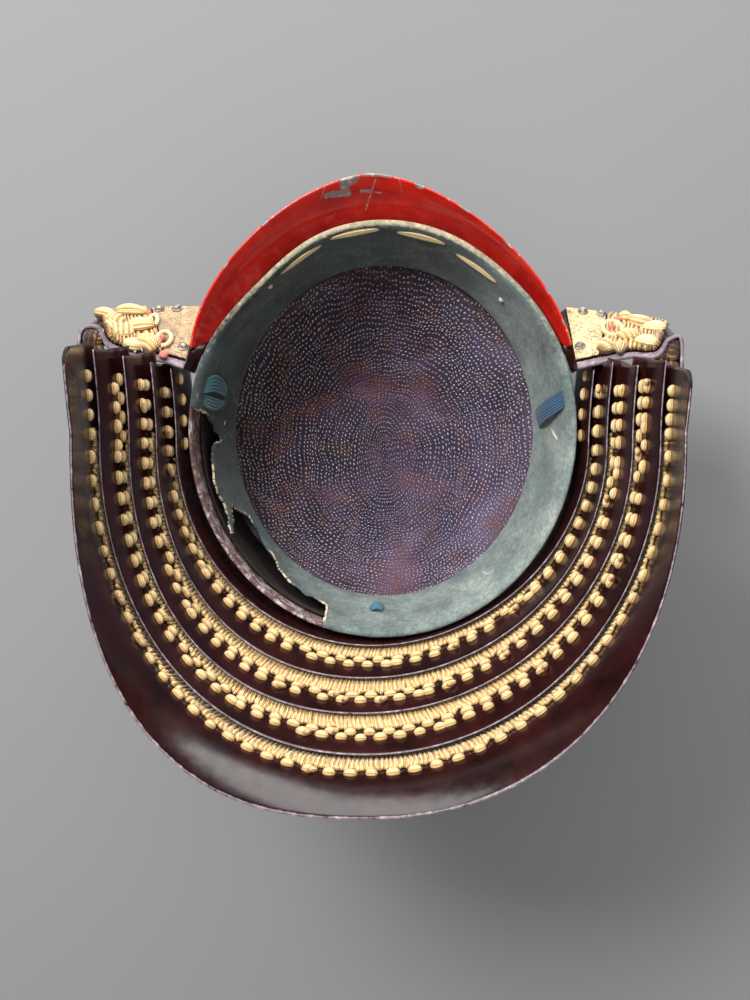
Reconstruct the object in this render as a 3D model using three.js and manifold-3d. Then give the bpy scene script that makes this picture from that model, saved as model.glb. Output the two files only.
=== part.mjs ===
// Samurai helmet (kabuto), lying upside down on its crown ring, in millimetres.
// +Z is up, so the bowl opens upwards, and +Y is the front of the helmet. Names with "left" lie on
// the -X side and names with "right" on the +X side, as seen from above. Every shape is laid out
// round the bowl's axis, with the rim's plane at RIM_Z, and the whole helmet is then moved so that
// its bounding box stands centred on the origin.
import * as THREE from "three";
import { mergeVertices } from "three/addons/utils/BufferGeometryUtils.js";
import Module from "manifold-3d";

const wasm = await Module();
wasm.setup();

// ---------- driving dimensions ----------
const RIM_Z = 138;             // height of the rim's plane over the floor
const GAP = 0.3;               // clearance between pieces that touch
const RIM = { halfWidth: 106.5, halfLength: 114.5 };   // outside of the base band at the rim

const BASE_BAND = { height: 25, wall: 1.8, narrowing: 1.8 };

const CROWN_RING = { outer: 25, inner: 14, height: 5, step: 2, stepRadius: 20 };

const BOWL = {
  wall: 1.6, edgeDrop: 16, halfWidth: 102.3, halfLength: 110.4,
  crownSpread: 0.27, holeSpread: 0.155, crownBack: 11,
  ribs: 24, ribHeight: 2.2, ribShare: 0.87,
};

const LEATHER = {
  wall: 1.6, lip: 1.8, lipInset: 0.6, drop: 48, outerWidth: 104.3, outerLength: 112.3,
  innerWidth: 87.7, innerLength: 97.3, forward: 1.5,
};

const CAP = {
  wall: 2.2, edgeDrop: 43, apexDrop: 105, halfWidth: 91.7, halfLength: 101.2, fullness: 2.2,
};

const PEAK = {
  wall: 1.8, flangeDrop: 17, rootDrop: 8, tipHeight: 4, crestHeight: 22,
  halfWidth: 104.3, lean: -0.9, crestLean: -4.4, tipY: 42.5, reach: 92.2, roundness: 1.64,
  fullness: 0.64, endSweep: 86, hug: 0.4, slopeShare: 0.7,
};

// The neck guard's lames. halfWidth and back are measured from a point GUARD.centreY on the axis;
// side and rear are how far the lower edge lies past the rim's plane, lean shifts the rear sideways,
// clearance is how far the lame stands off what it hangs from, endLean is how much further forward its
// ends are at the top than below, and widening and opening say how its front ends spread apart.
const GUARD = { centreY: -8, wall: 2.4, overlap: 3, tuck: 9, wideningRun: 40, lacingWall: 1.8 };
const LAMES = [
  { name: "neck_lame_1", halfWidth: 110.8, back: 109.4, squareness: 1.98, lean: -5.5, side: 10, rear: 8,
    clearance: 0.4, flare: 1, widening: 3, opening: 1.5 },
  { name: "neck_lame_2", halfWidth: 117.2, back: 124.1, squareness: 2.07, lean: -9, side: 32, rear: 29,
    clearance: 4.9, flare: 1, endLeft: 33.3, endRight: 32.5, endLean: 1, widening: 3, opening: 1.5 },
  { name: "neck_lame_3", halfWidth: 126.8, back: 139.2, squareness: 2.11, lean: -11, side: 54, rear: 50,
    clearance: 4.8, flare: 1, endLeft: 34.1, endRight: 28.5, endLean: 3, widening: 3, opening: 1.5 },
  { name: "neck_lame_4", halfWidth: 136.5, back: 156, squareness: 2.09, lean: -8, side: 76, rear: 71,
    clearance: 4.5, flare: 1, endLeft: 34.8, endRight: 28.5, endLean: 3, widening: 3, opening: 1.5 },
  { name: "neck_lame_5", halfWidth: 139.8, back: 179.2, squareness: 2.39, lean: -10.2, side: 116, rear: 104,
    clearance: 5.2, flare: 2.2, endLeft: 32.4, endRight: 20.3, endLean: 5, widening: 4.2, opening: 0.55 },
];
const LACED = { from: 0.01, to: 0.99, down: 0.6 };   // the part of each inner face that is laced
const CORNER = { start: 0.5, cut: 11 };   // rounding of the last lame's front corners

// The wings: two edges of one bent plate, each a row of stations from the temple outwards.
const WING = { wall: 2.2, topDrop: 22, rootRise: 12, endRise: 20, steps: 20 };
const WING_STATIONS = {
  left: [
    { topX: 103, topY: 70.5, lowX: 106.8, lowY: 32.5 },
    { topX: 120, topY: 70.3, lowX: 118, lowY: 36 },
    { topX: 138, topY: 69, lowX: 134, lowY: 39.6 },
    { topX: 150, topY: 68, lowX: 145.5, lowY: 43.5 },
    { topX: 161, topY: 65, lowX: 152.5, lowY: 54.5 },
    { topX: 167, topY: 56, lowX: 161, lowY: 53.5 },
    { topX: 166.5, topY: 33, lowX: 163.5, lowY: 31 },
  ],
  right: [
    { topX: 102.5, topY: 69, lowX: 105, lowY: 31.5 },
    { topX: 117, topY: 67, lowX: 117, lowY: 34.5 },
    { topX: 131, topY: 64.2, lowX: 133, lowY: 37.6 },
    { topX: 147, topY: 62, lowX: 146.5, lowY: 38 },
    { topX: 160, topY: 57.5, lowX: 152, lowY: 46.5 },
    { topX: 166.5, topY: 47, lowX: 158.6, lowY: 48.5 },
    { topX: 165.5, topY: 27, lowX: 160, lowY: 26 },
  ],
};
// Panels that lie on the wings' front faces: top and low are shares of the wing's width, and from and
// to are shares of its run, at its upper and its lower edge.
const WING_PANELS = [
  { name: "wing_leather", from: [0, 0], to: [0.265, 0.15], top: 0.03, low: 0.93, wall: 1.2, columns: 4 },
  { name: "wing_lacing", from: [0.27, 0.155], to: [0.6, 0.6], top: 0.04, low: 0.9, wall: 3.4, columns: 8 },
];
const STUDS = {
  left: [{ along: 0.126, across: 0.08 }, { along: 0.22, across: 0.08 }, { along: 0.04, across: 0.73 }],
  right: [{ along: 0.105, across: 0.08 }, { along: 0.225, across: 0.08 }, { along: 0.045, across: 0.7 }],
};
const STUD = { radius: 2.6, height: 2.4 };
const CURL_LACING = { from: [0.75, 0.75], to: [0.95, 0.95], top: 0.35, low: 0.94, wall: 5, columns: 4 };

// The torn edge of the leather, from the rim and back to it: bearing from the front, and share
// of the band's width. What lies between this edge and the rim is gone.
const TEAR = [
  { bearing: -84.6, share: 0.05 }, { bearing: -85.7, share: 0.23 },
  { bearing: -88.9, share: 0.4 }, { bearing: -93.3, share: 0.59 }, { bearing: -94.2, share: 0.42 },
  { bearing: -101.2, share: 0.3 }, { bearing: -106.2, share: 0.24 }, { bearing: -114.3, share: 0.33 },
  { bearing: -118.5, share: 0.26 }, { bearing: -125, share: 0.07 }, { bearing: -119.8, share: 0.38 },
  { bearing: -114.6, share: 0.49 }, { bearing: -120.1, share: 0.77 }, { bearing: -125.9, share: 0.82 },
  { bearing: -130.6, share: 0.71 }, { bearing: -136.5, share: 0.7 }, { bearing: -142.4, share: 0.53 },
  { bearing: -152.5, share: 0.41 }, { bearing: -160.5, share: 0.41 }, { bearing: -161.8, share: 0.02 },
];
const TEAR_OUTSIDE = { share: -0.5, bearings: [-161.8, -142, -123, -104, -84.6] };   // clear of the rim

const BROW_STITCHES = [
  { bearing: -27.5, share: 0.09 }, { bearing: -8.6, share: 0.04 },
  { bearing: 12.5, share: 0.09 }, { bearing: 32.5, share: 0.2 },
];
const BROW_STITCH = { span: 16, width: 4.2, height: 2.4 };

const CHIN_LOOPS = [
  { name: "chin_loop_left", bearing: -78.7, share: 0.44, along: 17, across: 14, height: 7 },
  { name: "chin_loop_right", bearing: 83.2, share: 0.6, along: 11, across: 19, height: 7 },
  { name: "chin_loop_rear", bearing: -177.8, share: 0.66, along: 8, across: 5, height: 4 },
];

// ---------- materials ----------
function paint(color, roughness, metalness) {
  return new THREE.MeshStandardMaterial({ color, roughness, metalness });
}
const IRON = paint(0x2a2220, 0.6, 0.6);
const RUSTY_IRON = paint(0x4a302c, 0.85, 0.3);
const RED_LACQUER = paint(0xb81410, 0.3, 0);
const DARK_LACQUER = paint(0x2c1113, 0.25, 0);
const SUEDE = paint(0x5f736c, 0.95, 0);
const QUILTED_CLOTH = paint(0x34264e, 0.95, 0);
const SILK_LACE = paint(0xe2c483, 0.8, 0);
const PRINTED_LEATHER = paint(0xd9c6a2, 0.85, 0);
const TEAL_CORD = paint(0x1f4a55, 0.8, 0);
const DARK_METAL = paint(0x4a403c, 0.5, 0.7);

// ---------- small helpers ----------
const radians = THREE.MathUtils.degToRad;
const lerp = THREE.MathUtils.lerp;

// A point on an ellipse, by its bearing in degrees: 0 is the front, 90 the +X side, 180 the rear.
function ovalPoint(halfWidth, halfLength, bearing, z, forward = 0) {
  const angle = radians(bearing);
  return new THREE.Vector3(halfWidth * Math.sin(angle), forward + halfLength * Math.cos(angle), z);
}

// A closed wall between two faces, each given as face(column, row) with both from 0 to 1.
// "around" joins the last column to the first; otherwise the two ends are closed.
function wallGeometry({ columns, rows, around, face, back }) {
  const across = around ? columns : columns + 1;
  const points = [];
  for (const side of [face, back]) {
    for (let row = 0; row <= rows; row += 1) {
      for (let column = 0; column < across; column += 1) {
        points.push(...side(column / columns, row / rows).toArray());
      }
    }
  }
  const at = (side, column, row) => (side * (rows + 1) + row) * across + (column % across);
  const faces = [];
  const quad = (a, b, c, d) => faces.push(a, b, c, a, c, d);
  for (let column = 0; column < columns; column += 1) {
    const next = column + 1;
    for (let row = 0; row < rows; row += 1) {
      quad(at(0, column, row), at(0, next, row), at(0, next, row + 1), at(0, column, row + 1));
      quad(at(1, column, row), at(1, column, row + 1), at(1, next, row + 1), at(1, next, row));
    }
    quad(at(0, column, 0), at(1, column, 0), at(1, next, 0), at(0, next, 0));
    quad(at(0, column, rows), at(0, next, rows), at(1, next, rows), at(1, column, rows));
  }
  if (!around) {
    for (let row = 0; row < rows; row += 1) {
      quad(at(0, 0, row), at(0, 0, row + 1), at(1, 0, row + 1), at(1, 0, row));
      quad(at(0, columns, row), at(1, columns, row), at(1, columns, row + 1), at(0, columns, row + 1));
    }
  }
  const geometry = new THREE.BufferGeometry();
  geometry.setAttribute("position", new THREE.Float32BufferAttribute(points, 3));
  geometry.setIndex(faces);
  return facingOut(welded(geometry));
}

// Shared vertices merged, and triangles that have closed to a line left out.
function welded(geometry) {
  geometry.deleteAttribute("normal");
  geometry.deleteAttribute("uv");
  const merged = mergeVertices(geometry, 1e-3);
  const kept = [];
  const index = merged.index.array;
  for (let i = 0; i < index.length; i += 3) {
    const [a, b, c] = [index[i], index[i + 1], index[i + 2]];
    if (a !== b && b !== c && c !== a) kept.push(a, b, c);
  }
  merged.setIndex(kept);
  return merged;
}

// Turns a closed body inside out if its signed volume is negative.
function facingOut(geometry) {
  const position = geometry.attributes.position;
  const index = geometry.index.array;
  const corner = (i) => new THREE.Vector3().fromBufferAttribute(position, i);
  let volume = 0;
  for (let i = 0; i < index.length; i += 3) {
    volume += corner(index[i]).dot(corner(index[i + 1]).cross(corner(index[i + 2])));
  }
  if (volume < 0) geometry.setIndex(Array.from(index).reverse());
  geometry.computeVertexNormals();
  return geometry;
}

function solidOf(geometry) {
  const closed = welded(geometry.clone());
  return new wasm.Manifold(new wasm.Mesh({
    numProp: 3,
    vertProperties: new Float32Array(closed.attributes.position.array),
    triVerts: new Uint32Array(closed.index.array),
  }));
}

function geometryOf(solid) {
  const mesh = solid.getMesh();
  const geometry = new THREE.BufferGeometry();
  geometry.setAttribute("position", new THREE.Float32BufferAttribute(mesh.vertProperties, 3));
  geometry.setIndex(Array.from(mesh.triVerts));
  geometry.computeVertexNormals();
  return geometry;
}

const helmet = new THREE.Group();

function add(name, geometry, material) {
  const mesh = new THREE.Mesh(geometry, material);
  mesh.name = name;
  helmet.add(mesh);
  return mesh;
}

// ---------- crown ring ----------
function crownRing() {
  const { outer, inner, height, step, stepRadius } = CROWN_RING;
  const profile = [
    [inner, 0], [outer, 0], [outer, height - step], [stepRadius, height], [inner, height], [inner, 0],
  ].map(([radius, z]) => new THREE.Vector2(radius, z));
  const geometry = new THREE.LatheGeometry(profile, 28);
  geometry.rotateX(Math.PI / 2);
  geometry.translate(0, -BOWL.crownBack, 0);
  const upright = facingOut(welded(geometry));
  const lowest = new THREE.Box3().setFromBufferAttribute(upright.attributes.position).min.z;
  upright.translate(0, 0, -lowest);
  add("crown_ring", upright, IRON);
}

// ---------- bowl ----------
// Row 0 is the edge of the crown hole, row 1 / rows the edge of the flat crown, and row 1 the edge
// inside the base band. The ribs fade out before both.
function bowlPoint(bearing, row, rows, inset, ribLift) {
  const bottom = CROWN_RING.height + GAP;
  const edge = RIM_Z - BOWL.edgeDrop;
  const climb = Math.max(0, (row * rows - 1) / (rows - 1));
  const rise = 1 - Math.cos((climb * Math.PI) / 2);
  const dome = Math.sqrt(1 - Math.pow(1 - rise, 2));
  const spread = row === 0 ? BOWL.holeSpread : lerp(BOWL.crownSpread, 1, dome);
  const fade = Math.sin(Math.min(1, climb / BOWL.ribShare) * Math.PI);
  const lift = ribLift * Math.max(0, fade);
  const z = lerp(bottom, edge, rise) + (inset - lift) * (1 - dome);
  const side = inset * Math.sqrt(dome);
  return ovalPoint(
    BOWL.halfWidth * spread - side + lift, BOWL.halfLength * spread - side + lift,
    bearing, z, -BOWL.crownBack * Math.pow(1 - rise, 2),
  );
}

function bowl() {
  const columns = BOWL.ribs * 2;
  const rows = 7;
  const geometry = wallGeometry({
    columns, rows, around: true,
    face: (column, row) => bowlPoint(360 * column, row, rows, BOWL.wall, 0),
    back: (column, row) => {
      const onRib = Math.round(column * columns) % 2 === 0;
      return bowlPoint(360 * column, row, rows, 0, onRib ? BOWL.ribHeight : 0);
    },
  });
  add("bowl", geometry, IRON);
}

// ---------- base band ----------
function baseBandPoint(bearing, drop, inset) {
  const narrower = BASE_BAND.narrowing * (drop / BASE_BAND.height) + inset;
  return ovalPoint(RIM.halfWidth - narrower, RIM.halfLength - narrower, bearing, RIM_Z - drop);
}

function baseBand() {
  const geometry = wallGeometry({
    columns: 60, rows: 1, around: true,
    face: (column, row) => baseBandPoint(360 * column, BASE_BAND.height * row, BASE_BAND.wall),
    back: (column, row) => baseBandPoint(360 * column, BASE_BAND.height * row, 0),
  });
  add("base_band", geometry, RUSTY_IRON);
}

// ---------- peak ----------
// The outer edge in plan, from the left tip (-90 degrees of sweep) over the crest to the right one.
function peakOuterEdge(sweep) {
  const spread = Math.sin(radians(sweep));
  const forward = Math.pow(1 - Math.pow(Math.abs(spread), PEAK.roundness), PEAK.fullness);
  const z = RIM_Z + lerp(PEAK.tipHeight, PEAK.crestHeight, forward);
  const x = PEAK.lean + PEAK.halfWidth * spread + PEAK.crestLean * forward;
  return new THREE.Vector3(x, PEAK.tipY + PEAK.reach * forward, z);
}

function peak() {
  const { hug, slopeShare, wall } = PEAK;
  const point = (column, row, depth) => {
    const outerEdge = peakOuterEdge(lerp(-PEAK.endSweep, PEAK.endSweep, column));
    const bearing = THREE.MathUtils.radToDeg(
      Math.atan2(outerEdge.x / RIM.halfWidth, outerEdge.y / RIM.halfLength));
    if (row === 0) return baseBandPoint(bearing, PEAK.flangeDrop, -hug - depth);
    if (row === 0.5) return baseBandPoint(bearing, PEAK.rootDrop + depth / 2, -hug - depth);
    const outward = new THREE.Vector3(outerEdge.x, outerEdge.y, 0).normalize();
    const shifted = outerEdge.addScaledVector(outward, (depth - wall) * slopeShare);
    return shifted.setZ(shifted.z - depth * slopeShare);
  };
  const geometry = wallGeometry({
    columns: 28, rows: 2, around: false,
    face: (column, row) => point(column, row, 0),
    back: (column, row) => point(column, row, wall),
  });
  add("peak", geometry, RED_LACQUER);
}

// ---------- lining ----------
// The leather's visible face: share 0 is the rim, 1 the inner edge, and lift stands off the face.
function leatherPoint(bearing, share, lift) {
  const slope = Math.atan2(LEATHER.drop, LEATHER.outerWidth - LEATHER.wall - LEATHER.innerWidth);
  const inward = lift * Math.sin(slope);
  return ovalPoint(
    lerp(LEATHER.outerWidth - LEATHER.wall, LEATHER.innerWidth, share) - inward,
    lerp(LEATHER.outerLength - LEATHER.wall, LEATHER.innerLength, share) - inward,
    bearing, RIM_Z - LEATHER.drop * share + lift * Math.cos(slope), LEATHER.forward * share,
  );
}

function liningBand() {
  const columns = 60;
  const rows = 4;
  const shareOf = (row) => (row * rows - 1) / (rows - 1);
  const lipPoint = (column, z) => baseBandPoint(360 * column, 0, LEATHER.lipInset).setZ(RIM_Z + z);
  const face = (column, row) => {
    if (row === 0) return lipPoint(column, LEATHER.lip);
    return leatherPoint(360 * column, Math.max(0.02, shareOf(row)), 0);
  };
  const back = (column, row) => {
    if (row === 0) return lipPoint(column, GAP);
    const behind = leatherPoint(360 * column, shareOf(row), -LEATHER.wall);
    return shareOf(row) === 0 ? behind.setZ(RIM_Z + GAP) : behind;
  };
  const whole = wallGeometry({ columns, rows, around: true, face, back });

  const plan = (bearing, share) => {
    const { x, y } = leatherPoint(bearing, share, 0);
    return new THREE.Vector2(x, y);
  };
  const outline = new THREE.Shape([
    ...TEAR.map(({ bearing, share }) => plan(bearing, share)),
    ...TEAR_OUTSIDE.bearings.map((bearing) => plan(bearing, TEAR_OUTSIDE.share)),
  ]);
  const cutter = new THREE.ExtrudeGeometry(outline, { depth: 2 * LEATHER.drop, bevelEnabled: false });
  cutter.translate(0, 0, RIM_Z - 1.5 * LEATHER.drop);
  const torn = solidOf(whole).subtract(solidOf(facingOut(welded(cutter))));
  add("lining_band", geometryOf(torn), SUEDE);
}

function capPoint(bearing, depth, thicken) {
  const spread = Math.pow(Math.max(0, 1 - Math.pow(depth, CAP.fullness)), 1 / 2);
  const z = RIM_Z - lerp(CAP.edgeDrop, CAP.apexDrop, depth) - thicken * (1 - spread);
  const side = spread > 0 ? thicken * Math.pow(spread, 0.4) : 0;
  return ovalPoint(
    CAP.halfWidth * spread + side, CAP.halfLength * spread + side,
    bearing, z, lerp(LEATHER.forward, -BOWL.crownBack, depth),
  );
}

function liningCap() {
  const depthOf = (row) => Math.sin((row * Math.PI) / 2);
  const geometry = wallGeometry({
    columns: 44, rows: 6, around: true,
    face: (column, row) => capPoint(360 * column, depthOf(row), 0),
    back: (column, row) => capPoint(360 * column, depthOf(row), CAP.wall),
  });
  add("lining_cap", geometry, QUILTED_CLOTH);
}

// ---------- neck guard ----------
// A point in plan on a lame's lower edge, "along" running from 0 at the left front end
// to 1 at the right one, pushed outwards by "out".
const STRAIGHT_SHARE = 0.09;   // part of the run, at each end, that lies ahead of GUARD.centreY

function edgePlan(lame, along, ends) {
  const side = along < 0.5 ? -1 : 1;
  const fromEnd = Math.min(along, 1 - along);
  const { centreY } = GUARD;
  if (fromEnd < STRAIGHT_SHARE) {
    const ahead = 1 - fromEnd / STRAIGHT_SHARE;
    const end = side < 0 ? ends.endLeft : ends.endRight;
    const y = lerp(centreY, end, ahead);
    const spread = lame.widening * Math.pow(Math.max(0, y - centreY) / GUARD.wideningRun, lame.opening);
    return new THREE.Vector2(side * (lame.halfWidth + spread), y);
  }
  const angle = lerp(90, 0, (fromEnd - STRAIGHT_SHARE) / (0.5 - STRAIGHT_SHARE));
  const [sine, cosine] = [Math.sin(radians(angle)), Math.cos(radians(angle))];
  const power = lame.squareness;
  const radius = Math.pow(Math.pow(sine, power) + Math.pow(cosine, power), -1 / power);
  const x = side * lame.halfWidth * radius * sine + lame.lean * Math.pow(radius * cosine, 2);
  return new THREE.Vector2(x, centreY - lame.back * radius * cosine);
}

function edgeHeight(lame, along) {
  const fromEnd = Math.min(along, 1 - along);
  const turn = THREE.MathUtils.clamp((fromEnd - STRAIGHT_SHARE) / (0.5 - STRAIGHT_SHARE), 0, 1);
  return lerp(lame.side, lame.rear, Math.pow(Math.sin((turn * Math.PI) / 2), 2));
}

// The same point pushed outwards, square to the edge's run.
function pushedOut(lame, along, ends, out) {
  const step = 0.002;
  const before = edgePlan(lame, Math.max(0, along - step), ends);
  const after = edgePlan(lame, Math.min(1, along + step), ends);
  const run = after.sub(before).normalize();
  return edgePlan(lame, along, ends).add(new THREE.Vector2(run.y, -run.x).multiplyScalar(out));
}

// The first lame starts on the base band, every other one behind the lame above it.
const BAND_NARROWED = BASE_BAND.narrowing * (WING.topDrop / BASE_BAND.height);
const BAND_EDGE = {
  halfWidth: RIM.halfWidth - BAND_NARROWED, back: RIM.halfLength - BAND_NARROWED + GUARD.centreY,
  squareness: 2, lean: 0, side: -WING.topDrop, rear: -WING.topDrop, widening: 3, opening: 1.5,
};

function lamePoint(number, along, down, out) {
  const lame = LAMES[number];
  const above = number === 0 ? BAND_EDGE : LAMES[number - 1];
  const ends = endsAt(number, down);
  const top = pushedOut(above, along, ends, lame.clearance + out);
  const low = pushedOut(lame, along, ends, out);
  const plan = top.lerp(low, lame.flare === 1 ? down : Math.pow(Math.max(0, down), lame.flare));
  return new THREE.Vector3(plan.x, plan.y, RIM_Z + lameHeight(number, along, down));
}

function lameHeight(number, along, down) {
  const start = number === 0 ? BAND_EDGE.side : edgeHeight(LAMES[number - 1], along) - GUARD.overlap;
  return lerp(start, edgeHeight(LAMES[number], along), down);
}

// Every lame but the first goes on behind the one above it, by GUARD.tuck.
function tuckedDown(number, along, row) {
  if (number === 0) return row;
  const height = lameHeight(number, along, 1) - lameHeight(number, along, 0);
  return lerp(-GUARD.tuck / height, 1, row);
}

// Where a lame's front ends stop, at each share of the way down its face.
function endsAt(number, down) {
  const lame = LAMES[number];
  if (number === 0) {
    const rootAt = ({ topY, lowY }) => lerp(topY, lowY, down) - WING.wall / 2;
    return { endLeft: rootAt(WING_STATIONS.left[0]), endRight: rootAt(WING_STATIONS.right[0]) };
  }
  const forward = lame.endLean * (1 - down);
  const past = Math.max(0, (down - CORNER.start) / (1 - CORNER.start));
  const cut = number === LAMES.length - 1 ? CORNER.cut * (1 - Math.sqrt(1 - past * past)) : 0;
  return { endLeft: lame.endLeft + forward - cut, endRight: lame.endRight + forward - cut };
}

function lameGeometry(number) {
  return wallGeometry({
    columns: 46, rows: LAMES[number].flare === 1 ? 1 : 5, around: false,
    face: (column, row) => lamePoint(number, column, tuckedDown(number, column, row), 0),
    back: (column, row) => lamePoint(number, column, tuckedDown(number, column, row), GUARD.wall),
  });
}

function lacing(number) {
  const point = (column, row, out) => lamePoint(
    number, lerp(LACED.from, LACED.to, column), LACED.down * row, out);
  const geometry = wallGeometry({
    columns: 42, rows: LAMES[number].flare === 1 ? 1 : 4, around: false,
    face: (column, row) => point(column, row, -GAP - GUARD.lacingWall),
    back: (column, row) => point(column, row, -GAP),
  });
  add(`lacing_${number + 1}`, geometry, SILK_LACE);
}

// ---------- wings ----------
function wingEdge(side, xKey, yKey, z) {
  const sign = side === "left" ? -1 : 1;
  const stations = WING_STATIONS[side];
  const rise = (i) => (typeof z === "number" ? z : lerp(z.root, z.end, i / (stations.length - 1)));
  return new THREE.CatmullRomCurve3(stations.map(
    (station, i) => new THREE.Vector3(sign * station[xKey], station[yKey], RIM_Z + rise(i))));
}

const WING_EDGES = Object.fromEntries(["left", "right"].map((side) => [side, {
  top: wingEdge(side, "topX", "topY", -WING.topDrop),
  low: wingEdge(side, "lowX", "lowY", { root: WING.rootRise, end: WING.endRise }),
}]));

// A point on a wing's front face, or behind it by "depth"; a negative depth stands off the face.
function wingPoint(side, along, down, depth) {
  const { top, low } = WING_EDGES[side];
  const at = (share) => top.getPoint(share).lerp(low.getPoint(share), down);
  const run = at(Math.min(1, along + 0.01)).sub(at(Math.max(0, along - 0.01)));
  const width = low.getPoint(along).sub(top.getPoint(along));
  const normal = run.cross(width).normalize();
  if (side === "left") normal.negate();
  return at(along).addScaledVector(normal, depth);
}

function wingPatch(side, { from, to, top, low, near, far, columns, rows }) {
  const point = (column, row, depth) => {
    const along = lerp(lerp(...from, row), lerp(...to, row), column);
    return wingPoint(side, along, lerp(top, low, row), depth);
  };
  return wallGeometry({
    columns, rows, around: false,
    face: (column, row) => point(column, row, near),
    back: (column, row) => point(column, row, far),
  });
}

function wing(side) {
  return wingPatch(side, {
    from: [0, 0], to: [1, 1], top: 0, low: 1, near: 0, far: WING.wall, columns: WING.steps, rows: 2,
  });
}

function firstLameWithWings() {
  const whole = solidOf(lameGeometry(0)).add(solidOf(wing("left"))).add(solidOf(wing("right")));
  add(LAMES[0].name, geometryOf(whole), DARK_LACQUER);
}

function wingPanels(side) {
  for (const panel of WING_PANELS) {
    const material = panel.name === "wing_leather" ? PRINTED_LEATHER : SILK_LACE;
    const geometry = wingPatch(side, {
      ...panel, near: -2 * GAP - panel.wall, far: -2 * GAP, rows: 2,
    });
    add(`${panel.name}_${side}`, geometry, material);
  }
  const bundle = wingPatch(side, {
    ...CURL_LACING, near: WING.wall + 2 * GAP, far: WING.wall + 2 * GAP + CURL_LACING.wall, rows: 2,
  });
  add(`curl_lacing_${side}`, bundle, SILK_LACE);
}

function studs(side) {
  STUDS[side].forEach(({ along, across }, i) => {
    const leather = WING_PANELS[0];
    const foot = wingPoint(side, along, across, -3 * GAP - leather.wall);
    const normal = wingPoint(side, along, across, -10).sub(foot).normalize();
    const profile = [
      [0, 0], [STUD.radius, 0], [STUD.radius * 0.85, STUD.height * 0.4], [0, STUD.height],
    ].map(([radius, height]) => new THREE.Vector2(radius, height));
    const geometry = facingOut(welded(new THREE.LatheGeometry(profile, 9)));
    const mesh = add(`wing_stud_${side}_${i + 1}`, geometry, DARK_METAL);
    mesh.quaternion.setFromUnitVectors(new THREE.Vector3(0, 1, 0), normal);
    mesh.position.copy(foot);
  });
}

// ---------- cords on the lining ----------
// A spindle that lies along the rim: column runs along it, row across it, and top is 1 on its crown.
function stitchPoint({ bearing, share }, column, row, top) {
  const { span, width, height } = BROW_STITCH;
  const here = bearing + span * (column - 0.5);
  const belly = Math.sin(Math.PI * lerp(0.12, 0.88, column));
  const round = Math.sin(Math.PI * lerp(0.1, 0.9, row));
  const seat = leatherPoint(here, share, 0);
  const across = leatherPoint(here, share + 0.1, 0).sub(seat).normalize();
  const lifted = leatherPoint(here, share, GAP + top * height * belly * round);
  return lifted.addScaledVector(across, width * belly * (row - 0.5));
}

function browStitches() {
  BROW_STITCHES.forEach((stitch, i) => {
    const geometry = wallGeometry({
      columns: 6, rows: 2, around: false,
      face: (column, row) => stitchPoint(stitch, column, row, 1),
      back: (column, row) => stitchPoint(stitch, column, row, 0),
    });
    add(`brow_stitch_${i + 1}`, geometry, SILK_LACE);
  });
}

function chinLoops() {
  for (const { name, bearing, share, along, across, height } of CHIN_LOOPS) {
    const foot = leatherPoint(bearing, share, GAP + height / 2);
    const normal = leatherPoint(bearing, share, height * 2).sub(foot).normalize();
    const geometry = facingOut(welded(new THREE.SphereGeometry(0.5, 10, 6)));
    const inward = leatherPoint(bearing, share + 0.1, 0).sub(leatherPoint(bearing, share, 0)).normalize();
    const basis = new THREE.Matrix4().makeBasis(inward.clone().cross(normal), inward, normal);
    geometry.scale(along, across, height);
    const mesh = add(name, geometry, TEAL_CORD);
    mesh.quaternion.setFromRotationMatrix(basis);
    mesh.position.copy(foot);
  }
}

// ---------- assembly ----------
crownRing();
bowl();
baseBand();
peak();
liningBand();
liningCap();
firstLameWithWings();
for (let number = 1; number < LAMES.length; number += 1) {
  add(LAMES[number].name, lameGeometry(number), DARK_LACQUER);
  lacing(number);
}
for (const side of ["left", "right"]) {
  wingPanels(side);
  studs(side);
}
browStitches();
chinLoops();

helmet.updateMatrixWorld(true);
const bounds = new THREE.Box3().setFromObject(helmet, true);
const middle = bounds.getCenter(new THREE.Vector3());
helmet.position.set(-middle.x, -middle.y, -bounds.min.z);

export default helmet;
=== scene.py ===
"""Samurai helmet lying upside down on its crown: lacquered neck guard with silk lacing, red peak,
rolled wings, torn suede lining band and a stitched indigo cap lining."""

import functools
import math
import random

import bmesh
import bpy
from mathutils import Matrix, Vector, noise


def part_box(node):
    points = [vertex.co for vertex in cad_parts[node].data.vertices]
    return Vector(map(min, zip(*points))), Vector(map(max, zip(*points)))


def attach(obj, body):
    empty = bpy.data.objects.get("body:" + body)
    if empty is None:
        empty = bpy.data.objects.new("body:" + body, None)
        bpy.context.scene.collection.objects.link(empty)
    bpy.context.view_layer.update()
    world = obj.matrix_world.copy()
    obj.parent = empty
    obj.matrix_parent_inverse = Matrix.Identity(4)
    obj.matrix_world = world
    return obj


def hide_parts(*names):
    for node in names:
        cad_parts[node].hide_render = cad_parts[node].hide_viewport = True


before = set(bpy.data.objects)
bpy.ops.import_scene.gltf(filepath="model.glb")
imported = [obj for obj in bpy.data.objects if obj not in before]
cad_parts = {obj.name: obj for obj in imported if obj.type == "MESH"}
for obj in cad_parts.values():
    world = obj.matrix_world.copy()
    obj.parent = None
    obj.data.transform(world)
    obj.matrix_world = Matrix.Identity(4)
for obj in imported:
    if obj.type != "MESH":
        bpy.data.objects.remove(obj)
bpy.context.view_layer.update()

scene = bpy.context.scene
random.seed(7)
noise.seed_set(7)       # noise vectors start from the clock without it

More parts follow.
